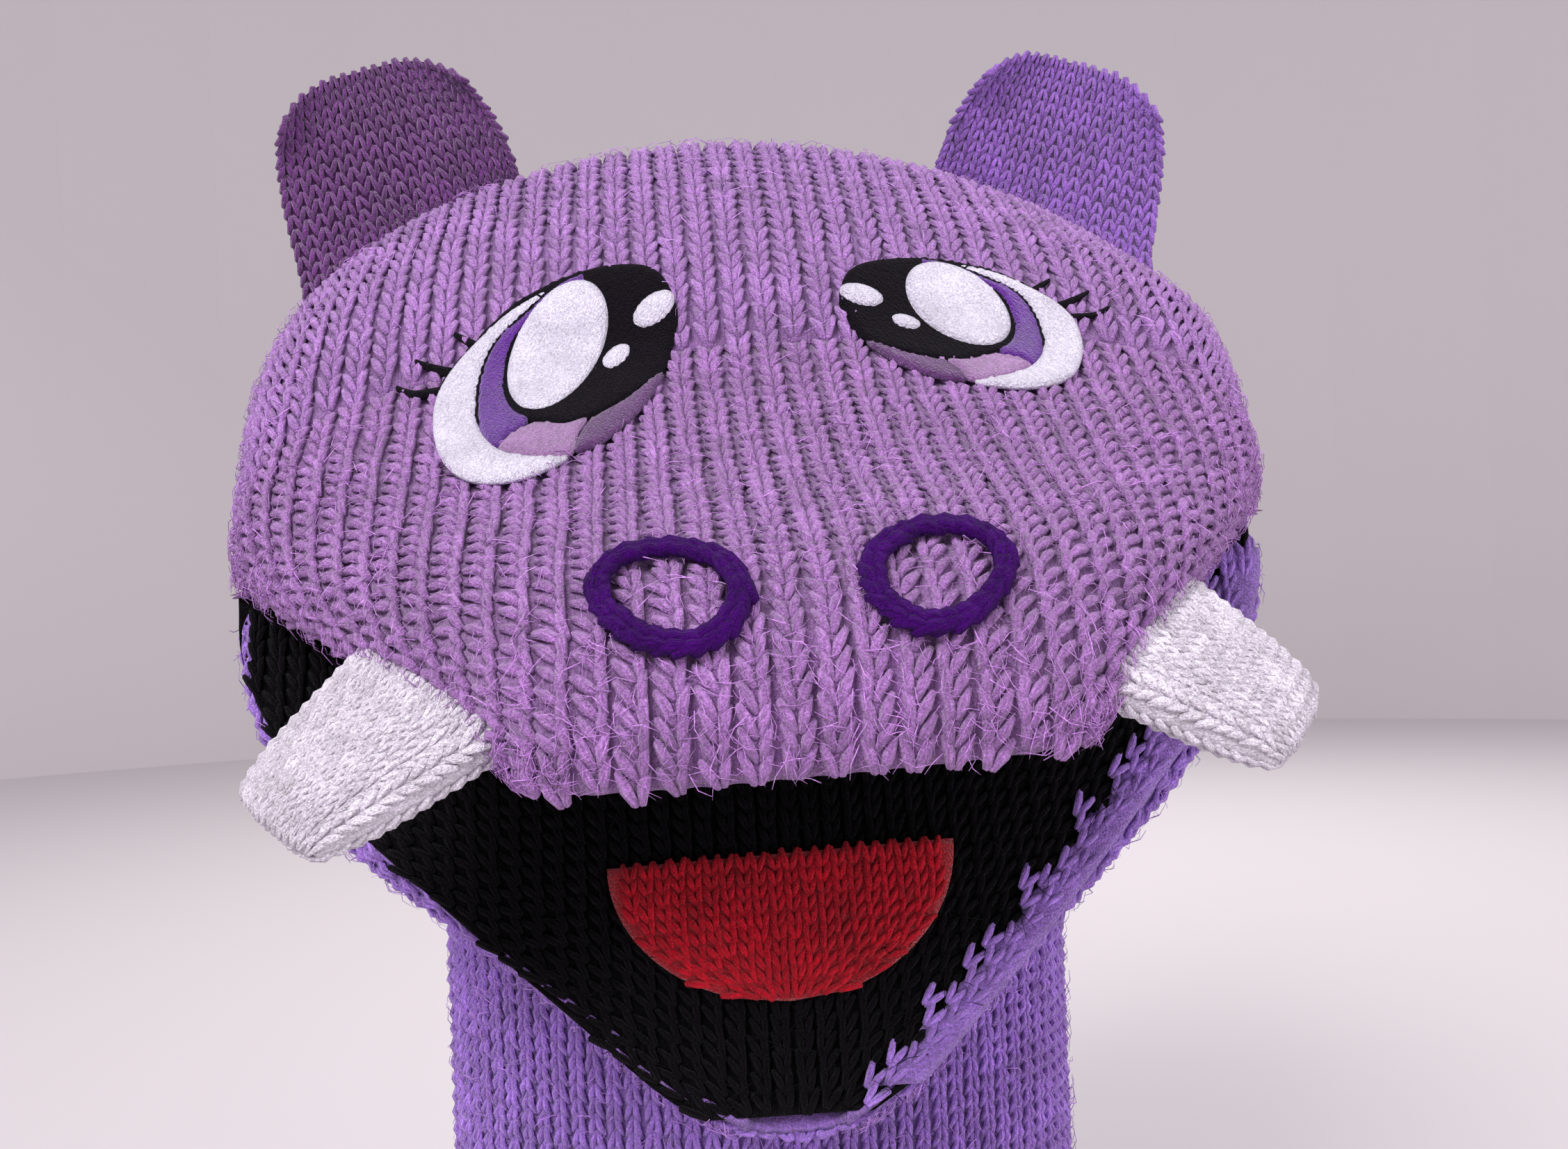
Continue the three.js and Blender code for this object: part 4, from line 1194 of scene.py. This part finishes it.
class PUPPET_OT_eyes(BuildPiece):
    """Embroider the eyes"""

    bl_idname = "puppet.eyes"
    bl_label = "Eyes"

    def build(self, s):
        threads = {
            "dark": (yarn("eye_dark_thread", (0.045, 0.02, 0.065), depth=0.5), "pupil", "eye_black_thread"),
            "white": (yarn("eye_white_thread", (0.90, 0.87, 0.95), depth=0.2), "white", "eye_white_thread"),
            "iris": (yarn("eye_iris_thread", (0.38, 0.10, 0.58), depth=0.5), "iris", "eye_iris_thread"),
            "lid": (yarn("eye_lid_thread", (0.66, 0.48, 0.70), depth=0.3), None, "eye_white_thread"),
            "plum": (yarn("eye_plum_thread", (0.36, 0.16, 0.42), depth=0.5), None, "eye_iris_thread"),
        }
        layers = {
            "dark": [(DARK_FIELD, 0, 1.25)] + [(stroke_outline(lash, 1.7), 0.2, 1.5) for lash in LASHES],
            "white": [
                (SCLERA, 0.4, 1.8),
                (oval_outline((0, 4.8), 25, 15.5, 57), 0.6, 2.2),
                (oval_outline((18, 10), 9, 5, 32), 0.6, 1.9),
                (oval_outline((10.5, 2), 6, 3.4, 35), 0.6, 1.9),
            ],
            "iris": [(IRIS, 0.4, 1.75)],
            "lid": [(LID, 0.4, 1.8)],
            "plum": [(PLUM, 0.3, 1.55)],
        }
        for side, sign in SIDES:
            low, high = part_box("eye_white_" + side)
            middle = (np.array(low) + np.array(high)) / 2 / MM
            spin = math.radians(1 if sign < 0 else 3)
            tall = 1.16 if sign < 0 else 0.84
            middle = middle + ([5, 0, -4] if sign < 0 else [-1, 0, 0.5])

            def place(plane, middle=middle, sign=sign, spin=spin, tall=tall):
                x = -sign * plane[:, 0]
                y = plane[:, 1] * tall
                shown_x = middle[0] + x * math.cos(spin) - y * math.sin(spin)
                shown_z = middle[2] + x * math.sin(spin) + y * math.cos(spin)
                u, v = find_on(snout_and_brow, shown_x, shown_z, (-sign * 0.3, 0.6))
                point, _, _, normal = frames(snout_and_brow, u, v)
                return point, normal

            for part, patches in layers.items():
                material, stands_for, slot = threads[part]
                shapes = [patch(outline, place, bottom, top) for outline, bottom, top in patches]
                made = merged("eye_" + part + "_thread_" + side, shapes, material)
                follow([made], *UPPER_BEND)
                if stands_for:
                    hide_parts("eye_" + stands_for + "_" + side)


snout_and_brow = Surface(CROWN_STATIONS[3:7] + [brow_cut] + bridge + MUZZLE_STATIONS[1:], -1)


class PUPPET_OT_nostrils(BuildPiece):
    """Lay the nostrils as rings of chain stitches"""

    bl_idname = "puppet.nostrils"
    bl_label = "Nostrils"

    def build(self, s):
        material = yarn("nostril_yarn", s.nostril_colour, depth=0.55)
        for side, sign in SIDES:
            u0 = -sign * math.asin(NOSTRIL_OUT / upper_half(NOSTRIL_DOWN)) / QUARTER
            v0, reach = 0.56, 1e-2
            per_u = np.linalg.norm(muzzle(u0 + reach, v0) - muzzle(u0 - reach, v0)) / (2 * reach)
            per_v = np.linalg.norm(muzzle(u0, v0 + reach) - muzzle(u0, v0 - reach)) / (2 * reach)
            tilt = math.radians(sign * 22)
            count = 22
            turn = np.linspace(0, 2 * math.pi, count, endpoint=False)

            def ring(a):
                x, y = NOSTRIL_SIZE[0] * np.cos(a), NOSTRIL_SIZE[1] * np.sin(a)
                return x * math.cos(tilt) - y * math.sin(tilt), x * math.sin(tilt) + y * math.cos(tilt)

            def surface(u, v):
                """Round the ring with v, across it with u."""
                a = np.asarray(v, float) * 2 * math.pi
                x, y = ring(a)
                outward = 1 + np.asarray(u, float) * 0.12
                u_at, v_at = u0 + x * outward / per_u, v0 + y * outward / per_v
                point, _, _, normal = frames(muzzle, u_at, v_at)
                return point + normal * 2.0

            shape = stitch_shape(4.4, 3.4, 1.25, spread=0.17, overlap=0.8, rise=0.3)
            share = turn / (2 * math.pi) * 0.998 + 0.001
            name = "nostril_yarn_" + side
            made = stitches(name, surface, np.zeros(count), share, shape, material, 80 + sign)
            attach(made, "upper_jaw")
            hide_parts("nostril_" + side)


class PUPPET_OT_ears(BuildPiece):
    """Knit the two cupped ears"""

    bl_idname = "puppet.ears"
    bl_label = "Ears"

    def build(self, s):
        for side, sign in SIDES:
            # The left ear's darker colour is painted shade.
            colour = s.ear_left_shaded_colour if sign < 0 else s.ear_right_colour
            front, back = ear_surface(sign, 1), ear_surface(sign, -1)
            # Painted shade: the ear's flap under its stitches is the ear's yarn darkened to 0.62.
            ground = yarn("ear_ground_" + side, shade(colour, 0.62))
            flap = two_sided("ear_" + side + "_fabric", front, back, ground)
            top = yarn("ear_yarn_" + side, colour)
            parts = [plain_knit("ear_part", face, 17, 15, 2.8, 2.4, top, 90 + sign + k, lift=0.0)
                     for k, face in enumerate((front, back))]
            made = join("ear_" + side + "_stitches", parts)
            foot = front(np.array(0.0), np.array(0.0))
            rise = ear_rise(sign)
            follow((flap, made), "head", "ear_" + side, tuple(foot - rise), tuple(foot + rise * 5))
            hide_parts("ear_front_" + side, "ear_back_" + side)
            sheet_of(flap, [made])


class PUPPET_OT_teeth(BuildPiece):
    """Stuff and knit the two teeth"""

    bl_idname = "puppet.teeth"
    bl_label = "Teeth"

    def build(self, s):
        ground = yarn("tooth_ground", s.tooth_colour, depth=0.3)
        top = yarn("tooth_yarn", s.tooth_colour, depth=0.3, heather=0.12)
        for side, sign in SIDES:
            upper, lower = tooth_surface(sign, 1), tooth_surface(sign, -1)
            pad = two_sided("tooth_" + side + "_cover", upper, lower, ground)
            parts = [plain_knit("tooth_part", face, 14, 12, 2.8, 2.4, top, 95 + sign + k, lift=0.0)
                     for k, face in enumerate((upper, lower))]
            made = join("tooth_" + side + "_stitches", parts)
            root = tooth_root(sign)
            out = upper(np.array(0.0), np.array(0.6)) - upper(np.array(0.0), np.array(0.4))
            out /= np.linalg.norm(out)
            follow((pad, made), "upper_jaw", "tooth_" + side, tuple(root - out), tuple(root + out * 6))
            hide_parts("tooth_cover_" + side, "tooth_stuffing_" + side)


class PUPPET_OT_stage(BuildPiece):
    """Set the floor, the lights and the camera"""

    bl_idname = "puppet.stage"
    bl_label = "Stage"

    def build(self, s):
        pale = bpy.data.materials.new("stage_pale")
        pale.use_nodes = True
        shader = pale.node_tree.nodes["Principled BSDF"]
        shader.inputs["Base Color"].default_value = (0.60, 0.56, 0.58, 1)
        shader.inputs["Roughness"].default_value = 0.95
        bpy.ops.mesh.primitive_circle_add(
            vertices=64, radius=STAGE_RADIUS, fill_type="NGON", location=(0, 0, FLOOR_HEIGHT)
        )
        floor = bpy.context.object
        floor.name = "stage_floor"
        bpy.ops.mesh.primitive_cylinder_add(
            vertices=64,
            radius=STAGE_RADIUS,
            depth=WALL_HEIGHT,
            end_fill_type="NOTHING",
            location=(0, 0, WALL_HEIGHT / 2 + FLOOR_HEIGHT),
        )
        wall = bpy.context.object
        wall.name = "stage_wall"
        for ray in ("visible_diffuse", "visible_glossy", "visible_shadow"):
            setattr(wall, ray, False)
        for part in (floor, wall):
            part.data.materials.append(pale)
        world = bpy.data.worlds.new("studio")
        bpy.context.scene.world = world
        world.use_nodes = True
        world.node_tree.nodes["Background"].inputs["Color"].default_value = (0.60, 0.56, 0.60, 1)
        world.node_tree.nodes["Background"].inputs["Strength"].default_value = 0.9
        for name, place, size, power in (
            ("key_light", (-0.55, -0.9, 0.95), 0.6, 16),
            ("fill_light", (0.9, -0.7, 0.5), 0.8, 6),
            ("back_light", (0.3, 0.9, 0.9), 0.6, 8),
        ):
            bpy.ops.object.light_add(type="AREA", location=place)
            lamp = bpy.context.object
            lamp.name = name
            lamp.data.size = size
            lamp.data.energy = power
            aim = Vector((0, -0.03, 0.17)) - Vector(place)
            lamp.rotation_euler = aim.to_track_quat("-Z", "Y").to_euler()
        turn = math.radians(CAMERA_AZIMUTH)
        at = Vector((math.sin(turn) * CAMERA_DISTANCE, -math.cos(turn) * CAMERA_DISTANCE, CAMERA_HEIGHT))
        bpy.ops.object.camera_add(location=at)
        camera = bpy.context.object
        camera.name = "camera"
        camera.data.lens = s.camera_lens
        camera.data.sensor_width = 36
        camera.data.clip_start = 0.01
        heading = Vector((0, 0, CAMERA_HEIGHT)) - at
        heading.rotate(Matrix.Rotation(math.radians(CAMERA_PAN), 3, "Z"))
        look = heading.to_track_quat("-Z", "Y").to_matrix()
        roll = Matrix.Rotation(math.radians(CAMERA_ROLL), 3, heading)
        camera.rotation_euler = (roll @ look).to_euler()
        bpy.context.scene.camera = camera
        bpy.context.scene.view_settings.view_transform = "Standard"


class PUPPET_PT_panel(bpy.types.Panel):
    """Lists the steps that build the puppet"""

    bl_idname = "PUPPET_PT_panel"
    bl_label = "Knitted hippo puppet"
    bl_space_type = "VIEW_3D"
    bl_region_type = "UI"
    bl_category = "Puppet"

    def draw(self, context):
        for step in STEPS:
            self.layout.operator(step.bl_idname)
        for name in PuppetSettings.__annotations__:
            self.layout.prop(context.scene.puppet, name)


STEPS = (
    PUPPET_OT_sleeve,
    PUPPET_OT_head,
    PUPPET_OT_upper_jaw,
    PUPPET_OT_lower_jaw,
    PUPPET_OT_eyes,
    PUPPET_OT_nostrils,
    PUPPET_OT_ears,
    PUPPET_OT_teeth,
    PUPPET_OT_stage,
)


def register():
    for part in (PuppetSettings, *STEPS, PUPPET_PT_panel):
        bpy.utils.register_class(part)
    bpy.types.Scene.puppet = PointerProperty(type=PuppetSettings)


def unregister():
    del bpy.types.Scene.puppet
    for part in (PUPPET_PT_panel, *reversed(STEPS), PuppetSettings):
        bpy.utils.unregister_class(part)


def main():
    register()
    for step in STEPS:
        area, name = step.bl_idname.split(".")
        getattr(getattr(bpy.ops, area), name)()


if __name__ == "__main__":
    main()
